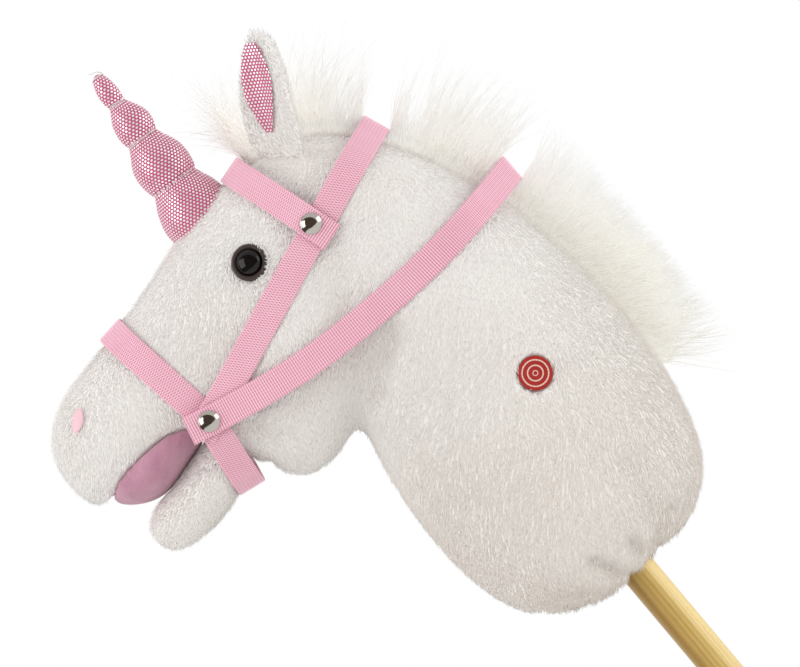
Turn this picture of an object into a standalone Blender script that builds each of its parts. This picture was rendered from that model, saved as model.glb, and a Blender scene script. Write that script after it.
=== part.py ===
"""Hobby horse: a stuffed unicorn head on a wooden stick, with a webbing bridle and a sound box.

Metres. The stick stands along +Z on the origin, the head faces -X, and the horse's left is -Y.
Heights in the shape tables count from the hem of the neck.
"""

import math

import bmesh
import bpy
import numpy as np
from mathutils import Matrix, Vector, geometry

# Fits
SEAT_GAP = 0.0003
BORE_GAP = 0.0003
EXIT = 0.04
HOLE_REACH = 0.12
CLEAR_OUT = 0.2

# Stick and its rubber foot
DOWEL_RADIUS = 0.011
DOWEL_IN_NECK = 0.25
DOWEL_EDGE = 0.002
HEM_HEIGHT = 0.55
FOOT_WALL = 0.003
FOOT_FLOOR = 0.006
FOOT_SLEEVE = 0.030
FOOT_EDGE = 0.002
FOOT_RIBS = 3
FOOT_RIB = 0.0008

# Neck: height, front, back, half width
NECK = (
    (0.000, -0.014, 0.014, 0.014),
    (0.003, -0.034, 0.036, 0.030),
    (0.010, -0.053, 0.056, 0.046),
    (0.026, -0.069, 0.074, 0.059),
    (0.050, -0.079, 0.084, 0.067),
    (0.080, -0.083, 0.091, 0.071),
    (0.112, -0.083, 0.095, 0.073),
    (0.146, -0.079, 0.094, 0.072),
    (0.180, -0.071, 0.091, 0.070),
    (0.215, -0.062, 0.085, 0.067),
    (0.250, -0.054, 0.074, 0.063),
    (0.280, -0.048, 0.062, 0.058),
    (0.306, -0.041, 0.046, 0.050),
    (0.326, -0.030, 0.029, 0.037),
    (0.337, -0.016, 0.012, 0.019),
)
# Head, jaw and mouth lining: place along X, top, bottom, half width, height of the widest line
HEAD = (
    (-0.2300, 0.274, 0.251, 0.012, 0.262),
    (-0.2250, 0.287, 0.243, 0.025, 0.262),
    (-0.2130, 0.300, 0.239, 0.036, 0.263),
    (-0.1950, 0.308, 0.238, 0.041, 0.265),
    (-0.1750, 0.312, 0.240, 0.042, 0.267),
    (-0.1560, 0.315, 0.240, 0.0425, 0.262),
    (-0.1420, 0.319, 0.225, 0.0430, 0.254),
    (-0.1330, 0.321, 0.197, 0.0435, 0.250),
    (-0.1220, 0.324, 0.177, 0.0450, 0.250),
    (-0.1080, 0.328, 0.171, 0.0490, 0.252),
    (-0.0900, 0.334, 0.173, 0.0545, 0.255),
    (-0.0680, 0.341, 0.181, 0.0590, 0.258),
    (-0.0480, 0.343, 0.193, 0.0605, 0.262),
    (-0.0280, 0.343, 0.208, 0.058, 0.268),
    (-0.0080, 0.340, 0.228, 0.050, 0.276),
    (0.0100, 0.330, 0.252, 0.035, 0.286),
    (0.0200, 0.316, 0.270, 0.018, 0.294),
)
JAW = (
    (-0.2110, 0.209, 0.198, 0.008, 0.203),
    (-0.2060, 0.216, 0.190, 0.019, 0.203),
    (-0.1950, 0.220, 0.187, 0.027, 0.204),
    (-0.1780, 0.224, 0.187, 0.031, 0.206),
    (-0.1600, 0.229, 0.190, 0.033, 0.210),
    (-0.1450, 0.234, 0.198, 0.032, 0.216),
    (-0.1320, 0.236, 0.204, 0.027, 0.220),
    (-0.1260, 0.232, 0.212, 0.014, 0.222),
)
LINING = (
    (-0.2170, 0.249, 0.237, 0.010, 0.243),
    (-0.2100, 0.252, 0.229, 0.026, 0.243),
    (-0.2000, 0.254, 0.223, 0.034, 0.243),
    (-0.1890, 0.255, 0.220, 0.037, 0.243),
    (-0.1750, 0.255, 0.223, 0.038, 0.243),
    (-0.1600, 0.254, 0.228, 0.037, 0.243),
    (-0.1450, 0.253, 0.232, 0.034, 0.243),
    (-0.1340, 0.250, 0.236, 0.022, 0.243),
)
ROUNDNESS = 2.2
BODY_POINTS = 14
SMALL_POINTS = 10
TUFT_POINTS = 8

# Mane on the crest: degrees round the nape point, height over the skin, half width
NAPE = (-0.020, 0.200)
MANE = (
    (-46.0, 0.002, 0.006),
    (-41.0, 0.014, 0.011),
    (-31.0, 0.027, 0.014),
    (-16.0, 0.032, 0.016),
    (-3.0, 0.031, 0.016),
    (6.0, 0.024, 0.016),
    (13.0, 0.014, 0.015),
    (20.0, 0.014, 0.015),
    (30.0, 0.020, 0.015),
    (43.0, 0.019, 0.015),
    (53.0, 0.004, 0.014),
    (60.0, 0.005, 0.014),
    (66.0, 0.016, 0.013),
    (74.0, 0.026, 0.012),
    (82.0, 0.010, 0.009),
)
MANE_ROOT = 0.008
FORELOCK_PLACE = (-0.013, 0.338)
FORELOCK_LEAN = math.radians(-8)
FORELOCK = ((0.000, 0.010), (0.012, 0.011), (0.026, 0.008), (0.036, 0.003))

# Horn: height over its foot, radius
HORN_PLACE = (-0.0655, 0.3365)
HORN_LEAN = math.radians(3.5)
HORN_ROOT = 0.012
HORN = (
    (0.000, 0.0225),
    (0.008, 0.0222),
    (0.016, 0.0196),
    (0.022, 0.0160),
    (0.025, 0.0152),
    (0.028, 0.0160),
    (0.034, 0.0174),
    (0.042, 0.0172),
    (0.050, 0.0146),
    (0.056, 0.0105),
    (0.058, 0.0100),
    (0.061, 0.0108),
    (0.067, 0.0122),
    (0.074, 0.0110),
    (0.081, 0.0072),
    (0.084, 0.0050),
    (0.086, 0.0052),
    (0.091, 0.0062),
    (0.098, 0.0056),
    (0.104, 0.0036),
    (0.106, 0.0000),
)

# Ears: a cupped leaf, share of the length, half width
EAR_PLACE = (-0.0035, 0.325)
EAR_SPREAD = 0.030
EAR_LENGTH = 0.083
EAR_LEAF = (
    (0.00, 0.0205),
    (0.20, 0.0262),
    (0.42, 0.0262),
    (0.64, 0.0225),
    (0.84, 0.0165),
    (1.00, 0.0070),
)
EAR_ACROSS = 5
EAR_CURL = math.radians(90)
EAR_THICKNESS = 0.0065
EAR_LEAN = math.radians(27)
EAR_TILT = math.radians(13)
EAR_TURN = math.radians(45)
LINING_LEAF = ((0.22, 0.0040), (0.34, 0.0115), (0.54, 0.0150), (0.78, 0.0125), (0.94, 0.0045))
LINING_ASIDE = 0.0058
LINING_CLOTH = 0.0016

# Eyes: place, then radii and heights over the skin
EYE_PLACE = (-0.060, 0.2945)
EYE_DOME_RADIUS = 0.0075
EYE_DOME_HEIGHT = 0.0058
EYE_RIM_RADIUS = 0.0113
EYE_RIM_HEIGHT = 0.0022
EYE_RIM_EDGE = 0.0002
EYE_SINK = 0.0030
EYE_PLATE_RADIUS = 0.0098
EYE_PLATE = 0.0012
EYE_STEM_RADIUS = 0.0025
EYE_STEM = 0.0130
WASHER_RADIUS = 0.0080
WASHER_THICKNESS = 0.0012
WASHER_DEPTH = 0.0065

# Nostrils: embroidered ovals
NOSTRIL_PLACE = (-0.2000, 0.2885)
NOSTRIL_LONG = 0.0078
NOSTRIL_SHORT = 0.0040
NOSTRIL_RISE = 0.0012
NOSTRIL_TURN = math.radians(-50)

# Bridle webbing: places of the rivets, then each strap's course in side view
STRAP_HALF_WIDTH = 0.0090
STRAP_THICKNESS = 0.0014
STRAP_GAP = 0.0004
SAMPLE_STEP = 0.0015
CORNER_TOLERANCE = 0.00015
PAD_HALF = 0.0078
LOWER_RIVET = (-0.1395, 0.2374)
UPPER_RIVET = (-0.0170, 0.2885)
NOSEBAND_TOP = (-0.1510, 0.3180)
CHIN_LOW = (-0.1456, 0.1960)
CROWN_TOP = (0.0560, 0.3120)
BROWBAND_TOP = (-0.0345, 0.3490)
NOSEBAND_TAIL = 0.0100
CHIN_TAIL = 0.0095
CHEEK_TAIL = 0.0110
BROWBAND_TAIL = 0.0150
REIN_TAIL = 0.0140
REIN_REACH = 0.236
REIN_DROP = math.radians(13)
REIN_LIFT = math.radians(15)
REIN_STEP = 0.012

# Rivets
RIVET_CAP_RADIUS = 0.0065
RIVET_CAP_HEIGHT = 0.0030
RIVET_RIM = 0.0006
RIVET_SHANK_RADIUS = 0.0019
RIVET_BACK_RADIUS = 0.0050
RIVET_BACK = 0.0009
RIVET_CLENCH_RADIUS = 0.0030
RIVET_CLENCH = 0.0007

# Sound box behind the press patch, which lies at this place on the left of the neck
PATCH_PLACE = (0.028, 0.1345)
PATCH_RADIUS = 0.0105
PATCH_THICKNESS = 0.0016
PATCH_PROUD = 0.0006
BOX_WIDE = 0.036
BOX_TALL = 0.046
BOX_CORNER = 0.005
BOX_WALL = 0.0015
BOX_DEPTH = 0.0065
FRONT_DEEP = 0.0100
BACK_DEEP = 0.0115
BUTTON_RADIUS = 0.0060
BUTTON_FLANGE_RADIUS = 0.0076
BUTTON_FLANGE = 0.0010
BUTTON_STEM_RADIUS = 0.0022
BUTTON_STEM = 0.0012
BUTTON_TRAVEL = 0.0020
BOARD_WIDE = 0.022
BOARD_TALL = 0.036
BOARD_THICKNESS = 0.0012
SWITCH_RADIUS = 0.0030
SWITCH_HEIGHT = 0.0008
CELL_RADIUS = 0.0058
CELL_THICKNESS = 0.0054
CELLS = 3
CELL_GAP = 0.0002
CELL_CLEAR = 0.0011
SPEAKER_RADIUS = 0.0090
SPEAKER_THICKNESS = 0.0045
SPEAKER_CONE_RADIUS = 0.0063
SPEAKER_ROLL_RADIUS = 0.0072
SPEAKER_DISH = 0.0012
SPEAKER_FRAME = 0.0020
SPEAKER_MAGNET_RADIUS = 0.0055
SPEAKER_CLEAR = 0.0015
SOUND_HOLE_RADIUS = 0.0011
SOUND_HOLE_RING = 0.0050
SOUND_HOLES = 6
SOUND_HOLE_LEAD = 0.004
COVER_WIDE = 0.0190
SCREW_RADIUS = 0.0010
SCREW_HEAD_RADIUS = 0.0019
SCREW_HEAD = 0.0009
POST_RADIUS = 0.0026
POST_INSET = 0.0040
POST_BITE = 0.0006
BOARD_REST_RADIUS = 0.0013
COVER_SCREW = 0.0060

# Tie inside the hem
TIE_HEIGHT = 0.008
TIE_THICKNESS = 0.0011
TIE_BAND = 0.0022

# Shape steps
SHARP_ANGLE = math.radians(35)
MERGE_DISTANCE = 0.00001
TURN_STEPS = 20
SMALL_STEPS = 14
DOME_STEPS = 5
HOLE_STEPS = 10
CORNER_STEPS = 3
LEFT, RIGHT = -1, 1
SIDES = (("left", LEFT), ("right", RIGHT))

for leftover in list(bpy.data.objects):
    bpy.data.objects.remove(leftover)
parts = bpy.data.collections.new("hobby_horse")
cutters = bpy.data.collections.new("cutters")
bpy.context.scene.collection.children.link(parts)
bpy.context.scene.collection.children.link(cutters)


def finish_of(name, color, roughness, metallic=0.0):
    """Principled material in the piece's own colour."""
    material = bpy.data.materials.new(name)
    material.use_nodes = True
    shader = material.node_tree.nodes["Principled BSDF"]
    shader.inputs["Base Color"].default_value = (*color, 1.0)
    shader.inputs["Roughness"].default_value = roughness
    shader.inputs["Metallic"].default_value = metallic
    material.diffuse_color = (*color, 1.0)
    return material


WOOD = finish_of("pale_wood", (0.72, 0.49, 0.20), 0.40)
RUBBER = finish_of("black_rubber", (0.03, 0.03, 0.03), 0.80)
PLUSH = finish_of("white_plush", (0.84, 0.81, 0.78), 0.95)
PILE = finish_of("ivory_pile", (0.80, 0.76, 0.67), 0.95)
JERSEY = finish_of("dusty_pink_jersey", (0.54, 0.26, 0.35), 0.85)
FOIL = finish_of("pink_foil_dots", (0.62, 0.17, 0.30), 0.35)
WEBBING = finish_of("pink_webbing", (0.90, 0.42, 0.56), 0.70)
THREAD = finish_of("pink_thread", (0.87, 0.47, 0.56), 0.75)
EYE_BLACK = finish_of("eye_black", (0.01, 0.01, 0.01), 0.08)
EYE_BROWN = finish_of("eye_brown", (0.07, 0.05, 0.045), 0.25)
NYLON = finish_of("white_nylon", (0.75, 0.75, 0.72), 0.50)
NICKEL = finish_of("nickel_plate", (0.72, 0.70, 0.67), 0.18, 1.0)
STITCH_RED = finish_of("red_embroidery", (0.48, 0.02, 0.012), 0.60)
BOX_PLASTIC = finish_of("white_case_plastic", (0.70, 0.70, 0.68), 0.45)
BOARD_GREEN = finish_of("board_green", (0.03, 0.20, 0.07), 0.45)
STEEL = finish_of("zinc_steel", (0.60, 0.60, 0.62), 0.30, 1.0)


def point(place, side=0.0):
    """World point for a place given along X and above the hem."""
    return Vector((place[0], side, HEM_HEIGHT + place[1]))


def piece(name, mesh, material, is_cutter=False):
    """Object for one piece, or for a cutter that the build leaves out."""
    made = bpy.data.objects.new(name, mesh)
    (cutters if is_cutter else parts).objects.link(made)
    if is_cutter:
        made.hide_render = True
        made.display_type = "WIRE"
    else:
        mesh.materials.append(material)
    return made


def closed_mesh(name, bm):
    """Mesh from a closed bmesh, faces outwards and smooth up to sharp edges."""
    bmesh.ops.recalc_face_normals(bm, faces=bm.faces)
    mesh = bpy.data.meshes.new(name)
    bm.to_mesh(mesh)
    bm.free()
    mesh.shade_smooth()
    mesh.set_sharp_from_angle(angle=SHARP_ANGLE)
    return mesh


def loft(name, rings):
    """Closed mesh through rings of as many points, with a face on each end."""
    bm = bmesh.new()
    loops = [[bm.verts.new(corner) for corner in ring] for ring in rings]
    for near, far in zip(loops, loops[1:]):
        for k in range(len(near)):
            after = (k + 1) % len(near)
            bm.faces.new((near[k], near[after], far[after], far[k]))
    bm.faces.new(loops[0])
    bm.faces.new(loops[-1])
    return closed_mesh(name, bm)


def oval(count, plus, minus, wide, power=ROUNDNESS):
    """Rounded section as pairs of an offset along its height and a half width."""
    # A subdivided cage draws in by this share, so the cage is larger by it.
    smoothing = (2 + math.cos(math.tau / count)) / 3
    section = []
    for k in range(count):
        turn = math.tau * (k + 0.5) / count
        side = math.copysign(abs(math.cos(turn)) ** (2 / power), math.cos(turn)) / smoothing
        rise = math.copysign(abs(math.sin(turn)) ** (2 / power), math.sin(turn)) / smoothing
        section.append((rise * (plus if rise > 0 else minus), side * wide))
    return section


def soften(target):
    """One level of subdivision on a coarse cage."""
    smooth = target.modifiers.new("soft", "SUBSURF")
    smooth.levels = smooth.render_levels = 1


def along_x(name, table, count, material):
    """Stuffed form from sections square to X."""
    rings = []
    for x, top, bottom, half, widest in table:
        section = oval(count, top - widest, widest - bottom, half)
        rings.append([point((x, widest + rise), side) for rise, side in section])
    form = piece(name, loft(name, rings), material)
    soften(form)
    return form


def along_z(name, table, count, material):
    """Stuffed form from level sections."""
    rings = []
    for height, front, back, half in table:
        middle = (front + back) / 2
        section = oval(count, back - middle, middle - front, half)
        rings.append([point((middle + reach, height), side) for reach, side in section])
    form = piece(name, loft(name, rings), material)
    soften(form)
    return form


def turned(name, profile, material, steps=TURN_STEPS, ring=False, is_cutter=False):
    """Piece turned about its own Z from a profile of radius and height, run down the outside."""
    mesh = bpy.data.meshes.new(name)
    count = len(profile)
    edges = [(k, k + 1) for k in range(count - 1)] + ([(count - 1, 0)] if ring else [])
    mesh.from_pydata([(radius, 0.0, height) for radius, height in profile], edges, [])
    made = piece(name, mesh, material, is_cutter)
    screw = made.modifiers.new("turn", "SCREW")
    screw.steps = screw.render_steps = steps
    screw.use_merge_vertices = True
    screw.merge_threshold = MERGE_DISTANCE
    screw.use_smooth_shade = True
    return made


def block(name, wide, tall, low, high, corner, material, is_cutter=False, center=(0.0, 0.0)):
    """Plate or block, its upright corners rounded if asked, between two depths along its own Z."""
    bm = bmesh.new()
    bmesh.ops.create_cube(bm, size=1.0)
    bmesh.ops.scale(bm, vec=(wide, tall, high - low), verts=bm.verts)
    bmesh.ops.translate(bm, vec=(center[0], center[1], (low + high) / 2), verts=bm.verts)
    if corner:
        upright = [e for e in bm.edges if abs(e.verts[0].co.z - e.verts[1].co.z) > 1e-6]
        bmesh.ops.bevel(bm, geom=upright, offset=corner, segments=CORNER_STEPS, profile=0.5, affect="EDGES")
    return piece(name, closed_mesh(name, bm), material, is_cutter)


def rod(name, radius, low, high, material, center=(0.0, 0.0), steps=TURN_STEPS, is_cutter=False):
    """Plain cylinder between two depths along its own Z."""
    bm = bmesh.new()
    bmesh.ops.create_cone(bm, cap_ends=True, segments=steps, radius1=radius, radius2=radius, depth=high - low)
    bmesh.ops.translate(bm, vec=(center[0], center[1], (low + high) / 2), verts=bm.verts)
    return piece(name, closed_mesh(name, bm), material, is_cutter)


def cut(target, cutter, operation="DIFFERENCE"):
    """Boolean of a piece with a cutter, kept as a modifier."""
    boolean = target.modifiers.new(cutter.name, "BOOLEAN")
    boolean.operation = operation
    boolean.solver = "EXACT"
    boolean.object = cutter


def swollen(form, gap=SEAT_GAP):
    """Cutter with the form's present shape, larger all round by a gap."""
    grown = piece(form.name + "_seat", form.data.copy(), None, is_cutter=True)
    grown.matrix_world = form.matrix_world
    for modifier in form.modifiers:
        if modifier.type in {"SUBSURF", "SOLIDIFY"}:
            copied = grown.modifiers.new(modifier.name, modifier.type)
            for field in ("levels", "render_levels", "thickness", "offset", "use_even_offset"):
                if hasattr(modifier, field):
                    setattr(copied, field, getattr(modifier, field))
    swell = grown.modifiers.new("swell", "DISPLACE")
    swell.strength = gap
    swell.mid_level = 0.0
    return grown


def finished_mesh(made):
    """The piece's mesh as it stands after its modifiers, in world space."""
    bpy.context.view_layer.update()
    depsgraph = bpy.context.evaluated_depsgraph_get()
    mesh = bpy.data.meshes.new_from_object(made.evaluated_get(depsgraph))
    mesh.transform(made.matrix_world)
    return mesh


def surface_points(made):
    """Points along a piece's edges and its faces' middle lines, a sample step apart or closer."""
    mesh = finished_mesh(made)
    corners = np.array([v.co[:] for v in mesh.vertices])
    edges = np.array([e.vertices[:] for e in mesh.edges])
    spokes = np.array([(*face.center, *key) for face in mesh.polygons for key in face.edge_keys])
    bpy.data.meshes.remove(mesh)
    rims = spokes[:, 3:].astype(int)
    start = np.concatenate([corners[edges[:, 0]], spokes[:, :3]])
    end = np.concatenate([corners[edges[:, 1]], (corners[rims[:, 0]] + corners[rims[:, 1]]) / 2])
    stretches = np.ceil(np.linalg.norm(end - start, axis=1) / SAMPLE_STEP).astype(int)
    line = np.repeat(np.arange(len(stretches)), stretches + 1)
    place = np.arange(len(line)) - np.repeat(np.cumsum(stretches + 1) - stretches - 1, stretches + 1)
    return start[line] + (end - start)[line] * (place / stretches[line])[:, None]


def skin_under(forms, start, heading):
    """First point and outward normal that a ray meets on the forms."""
    bpy.context.view_layer.update()
    depsgraph = bpy.context.evaluated_depsgraph_get()
    nearest = None
    for form in forms:
        met, place, normal, _ = form.evaluated_get(depsgraph).ray_cast(start, heading)
        if met and (nearest is None or (place - start).length < (nearest[0] - start).length):
            nearest = (place, normal)
    return nearest


def facing(axis):
    """Turn that points a piece's own Z along an axis, with its own Y kept upright."""
    return axis.normalized().to_track_quat("Z", "Y").to_euler()


# Stuffed forms, each cut by the larger ones that it meets
neck = along_z("neck_plush", NECK, BODY_POINTS, PLUSH)
head = along_x("head_plush", HEAD, BODY_POINTS, PLUSH)
lining = along_x("mouth_lining", LINING, SMALL_POINTS, JERSEY)
jaw = along_x("lower_jaw_plush", JAW, SMALL_POINTS, PLUSH)
neck_seat = swollen(neck)
head_seat = swollen(head)
lining_seat = swollen(lining)
skins = (neck, head)


def ring_about(center, out, radius_out, radius_side, count):
    """Oval in the plane of an outward direction and Y."""
    section = oval(count, radius_out, radius_out, radius_side)
    return [center + out * rise + Vector((0.0, side, 0.0)) for rise, side in section]


def crest_mane():
    """Fur strip along the crest, high between the straps and low under the crown strap."""
    rings = []
    for degrees, height, half in MANE:
        turn = math.radians(degrees)
        out = Vector((math.cos(turn), 0.0, math.sin(turn)))
        place, _ = skin_under(skins, point(NAPE) + out, -out)
        middle = place + out * (height - MANE_ROOT) / 2
        rings.append(ring_about(middle, out, (height + MANE_ROOT) / 2, half, TUFT_POINTS))
    strip = piece("mane", loft("mane", rings), PILE)
    soften(strip)
    return strip


def tuft(name, place, lean, table):
    """Upright tuft from level rings of height and radius."""
    up = Vector((math.sin(lean), 0.0, math.cos(lean)))
    sideways = Vector((up.z, 0.0, -up.x))
    rings = []
    for height, radius in table:
        center = point(place) + up * height
        section = oval(TUFT_POINTS, radius, radius, radius, power=2)
        rings.append([center + sideways * reach + Vector((0.0, side, 0.0)) for reach, side in section])
    made = piece(name, loft(name, rings), PILE)
    soften(made)
    return made


mane = crest_mane()
forelock = tuft("forelock", FORELOCK_PLACE, FORELOCK_LEAN, FORELOCK)
mane_seat = swollen(mane)

horn_profile = [(0.0, HORN[-1][0])] + [(radius, height) for height, radius in reversed(HORN[:-1])]
horn_profile += [(HORN[0][1], -HORN_ROOT), (0.0, -HORN_ROOT)]
horn = turned("horn", horn_profile, FOIL, SMALL_STEPS)
horn.location = point(HORN_PLACE)
horn.rotation_euler = (0.0, HORN_LEAN, 0.0)


def leaf(table, lift=0.0, aside=0.0):
    """Cupped leaf surface, root at the origin, tip along Z, hollow side towards -Y."""
    bend = 2 * max(half for _, half in EAR_LEAF) / EAR_CURL
    bm = bmesh.new()
    rows = []
    for share, half in table:
        row = []
        for k in range(EAR_ACROSS):
            turn = ((2 * k / (EAR_ACROSS - 1) - 1) * half + aside) / bend
            radius = bend - lift
            place = (radius * math.sin(turn), radius * math.cos(turn) - bend, share * EAR_LENGTH)
            row.append(bm.verts.new(place))
        rows.append(row)
    for near, far in zip(rows, rows[1:]):
        for k in range(EAR_ACROSS - 1):
            bm.faces.new((near[k], near[k + 1], far[k + 1], far[k]))
    return bm


def open_mesh(name, bm):
    """Mesh from an open surface."""
    mesh = bpy.data.meshes.new(name)
    bm.to_mesh(mesh)
    bm.free()
    mesh.shade_smooth()
    return mesh


def thicken(target, thickness, offset):
    """Wall on an open surface."""
    wall = target.modifiers.new("wall", "SOLIDIFY")
    wall.thickness = thickness
    wall.offset = offset
    wall.use_even_offset = True


for side_name, side in SIDES:
    stance = (
        Matrix.Translation(point(EAR_PLACE, side * EAR_SPREAD))
        @ Matrix.Rotation(EAR_LEAN, 4, "Y")
        @ Matrix.Rotation(-side * EAR_TILT, 4, "X")
        @ Matrix.Rotation((side + 1) * math.pi / 2 + side * EAR_TURN, 4, "Z")
    )
    outer = leaf(EAR_LEAF)
    ear = piece("ear_" + side_name, open_mesh("ear_" + side_name, outer), PLUSH)
    ear.matrix_world = stance
    thicken(ear, EAR_THICKNESS, 0.0)
    soften(ear)
    ear_seat = swollen(ear)
    cut(ear, head_seat)
    cut(ear, neck_seat)
    inner = leaf(LINING_LEAF, EAR_THICKNESS / 2, side * LINING_ASIDE)
    ear_lining = piece("ear_lining_" + side_name, open_mesh("ear_lining_" + side_name, inner), FOIL)
    ear_lining.matrix_world = stance
    thicken(ear_lining, 2 * LINING_CLOTH, 0.0)
    soften(ear_lining)
    cut(ear_lining, ear_seat)
    cut(ear_lining, head_seat)

cut(head, neck_seat)
for trimmed in (lining, jaw, mane, forelock, horn):
    cut(trimmed, head_seat)
cut(jaw, lining_seat)
for trimmed in (jaw, mane, forelock):
    cut(trimmed, neck_seat)
cut(forelock, mane_seat)


def hull_round(places):
    """Corners, in order, of the tightest outline round flat points."""
    flat = [(float(a), float(b)) for a, b in places]
    kept = [Vector(flat[k]) for k in geometry.convex_hull_2d(flat)]
    spare = True
    while spare:
        spare = False
        for k, here in enumerate(kept):
            foot, _ = geometry.intersect_point_line(here, kept[k - 1], kept[(k + 1) % len(kept)])
            if (foot - here).length < CORNER_TOLERANCE:
                kept.pop(k)
                spare = True
                break
    area = sum(p.cross(q) for p, q in zip(kept, kept[1:] + kept[:1]))
    return kept if area > 0 else kept[::-1]


def widest_between(places, low, high):
    """Greatest half width among flat points between two places along them."""
    inside = (places[:, 0] >= low) & (places[:, 0] <= high)
    return float(np.abs(places[inside][:, 1]).max())


def grown_outline(outline, gap):
    """Outline moved outwards by a gap."""
    moved = []
    for k, here in enumerate(outline):
        first = (here - outline[k - 1]).normalized()
        second = (outline[(k + 1) % len(outline)] - here).normalized()
        out_first, out_second = Vector((first.y, -first.x)), Vector((second.y, -second.x))
        out = (out_first + out_second).normalized()
        moved.append(here + out * gap / out.dot(out_first))
    return moved


def pinned_course(flat, level, tail):
    """Tight course held down flat at the rivets on its two ends, from -Y round to +Y."""
    past = flat[flat[:, 0] > PAD_HALF]
    pad_ends = np.array([(PAD_HALF, -level), (PAD_HALF, level)])
    outline = grown_outline(hull_round(np.concatenate([past, pad_ends])), STRAP_GAP)
    count = len(outline)
    k = next(k for k in range(count) if outline[k - 1].x <= PAD_HALF < outline[k].x)
    held = level + STRAP_GAP
    course = [Vector((-tail, -held)), Vector((PAD_HALF, -held))]
    while outline[k].x > PAD_HALF:
        course.append(outline[k])
        k = (k + 1) % count
    return course + [Vector((PAD_HALF, held)), Vector((-tail, held))]


def strap_of(name, rows):
    """Flat webbing through rows of a centre and a half width, with its wall on the outside."""
    bm = bmesh.new()
    edges = [[bm.verts.new(center + across * share) for share in (-1.0, 1.0)] for center, across in rows]
    for near, far in zip(edges, edges[1:]):
        bm.faces.new((near[0], far[0], far[1], near[1]))
    made = piece(name, open_mesh(name, bm), WEBBING)
    thicken(made, STRAP_THICKNESS, 1.0)
    return made


def cloud_of(forms):
    """Surface points of several pieces together."""
    return np.concatenate([surface_points(form) for form in forms])


def taut_strap(name, under, origin, towards, tail, rivets_between=()):
    """Strap pulled tight over what is under it, in the plane of its course and Y, flat at its rivets.

    Gives the strap, and its inner face's half width at its end rivets and at any rivets between them.
    """
    start = point(origin)
    along = (point(towards) - start).normalized()
    across = Vector((-along.z, 0.0, along.x))
    cloud = cloud_of(under) - np.array(start)
    flat = np.stack([cloud @ np.array(along), cloud[:, 1]], axis=1)
    covered = np.abs(cloud @ np.array(across)) <= STRAP_HALF_WIDTH + STRAP_GAP
    flat = flat[covered]
    end_level = widest_between(flat, -tail, PAD_HALF)
    levels = [end_level + STRAP_GAP]
    for rivet in rivets_between:
        spot = (point(rivet) - start).dot(along)
        level = widest_between(flat, spot - PAD_HALF, spot + PAD_HALF)
        pads = [(place, edge * level) for place in (spot - PAD_HALF, spot + PAD_HALF) for edge in (-1.0, 1.0)]
        flat = np.concatenate([flat, np.array(pads)])
        levels.append(level + STRAP_GAP)
    course = pinned_course(flat, end_level, tail)
    rows = [(start + along * p.x + Vector((0.0, p.y, 0.0)), across * STRAP_HALF_WIDTH) for p in course]
    return strap_of(name, rows), levels


muzzle = (head, jaw, lining)
noseband, (nose_level,) = taut_strap("noseband", muzzle, LOWER_RIVET, NOSEBAND_TOP, NOSEBAND_TAIL)
under_chin = (*muzzle, noseband)
chin_strap, _ = taut_strap("chin_strap", under_chin, LOWER_RIVET, CHIN_LOW, CHIN_TAIL)
under_stall = (head, neck, mane, noseband, chin_strap)
headstall, (_, stall_level) = taut_strap(
    "headstall_strap", under_stall, LOWER_RIVET, CROWN_TOP, CHEEK_TAIL, (UPPER_RIVET,)
)
under_brow = (head, neck, headstall)
browband, (brow_level,) = taut_strap("browband", under_brow, UPPER_RIVET, BROWBAND_TOP, BROWBAND_TAIL)


def rein_angle(reach):
    """Side-view angle of the rein at a distance from its rivet: it sags towards the rivet."""
    return -REIN_DROP * (1 - min(1.0, max(0.0, reach / REIN_REACH)))


def lifting_rein(name, under):
    """Rein over all that it sweeps as it lifts about both lower rivets, flat at the rivets."""
    hinge = point(LOWER_RIVET)
    cloud = cloud_of(under) - np.array(hinge)
    reach = np.hypot(cloud[:, 0], cloud[:, 2])
    angle = np.arctan2(cloud[:, 2], cloud[:, 0])
    half_band = STRAP_HALF_WIDTH + 2 * STRAP_GAP
    half_angle = np.arcsin(np.minimum(1.0, half_band / np.maximum(reach, half_band)))
    rest = np.array([rein_angle(r) for r in reach])
    swept = (angle >= rest - half_angle) & (angle <= rest + REIN_LIFT + half_angle)
    at_edge = np.sqrt(np.maximum(0.0, reach**2 - half_band**2))
    flat = np.concatenate([np.stack([place, cloud[:, 1]], axis=1)[swept] for place in (at_edge, reach)])
    level = widest_between(flat, 0.0, PAD_HALF)
    corners = pinned_course(flat, level, REIN_TAIL)
    course = corners[:1]
    for near, far in zip(corners, corners[1:]):
        stretches = max(1, math.ceil((far - near).length / REIN_STEP))
        course += [near.lerp(far, (k + 1) / stretches) for k in range(stretches)]
    turns = [rein_angle(p.x) for p in course]
    centers = [Vector((p.x * math.cos(t), p.y, p.x * math.sin(t))) for p, t in zip(course, turns)]
    rows = []
    for k, center in enumerate(centers):
        before, after = max(0, k - 1), min(len(course) - 1, k + 1)
        ahead = centers[after] - centers[before]
        way = course[after] - course[before]
        outward = Vector((way.y * math.cos(turns[k]), -way.x, way.y * math.sin(turns[k])))
        rows.append((center, outward.cross(ahead).normalized() * STRAP_HALF_WIDTH))
    made = strap_of(name, rows)
    made.location = hinge
    return made, level + STRAP_GAP


reins, rein_level = lifting_rein("reins", (head, neck, mane, noseband, chin_strap, headstall, browband))


def through_hole(name, place, straps):
    """Hole for a rivet's shank through straps on both sides."""
    hole = rod(name, RIVET_SHANK_RADIUS + BORE_GAP, -HOLE_REACH, HOLE_REACH, None, is_cutter=True)
    hole.location = point(place)
    hole.rotation_euler = facing(Vector((0.0, 1.0, 0.0)))
    for strap in straps:
        cut(strap, hole)


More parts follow.
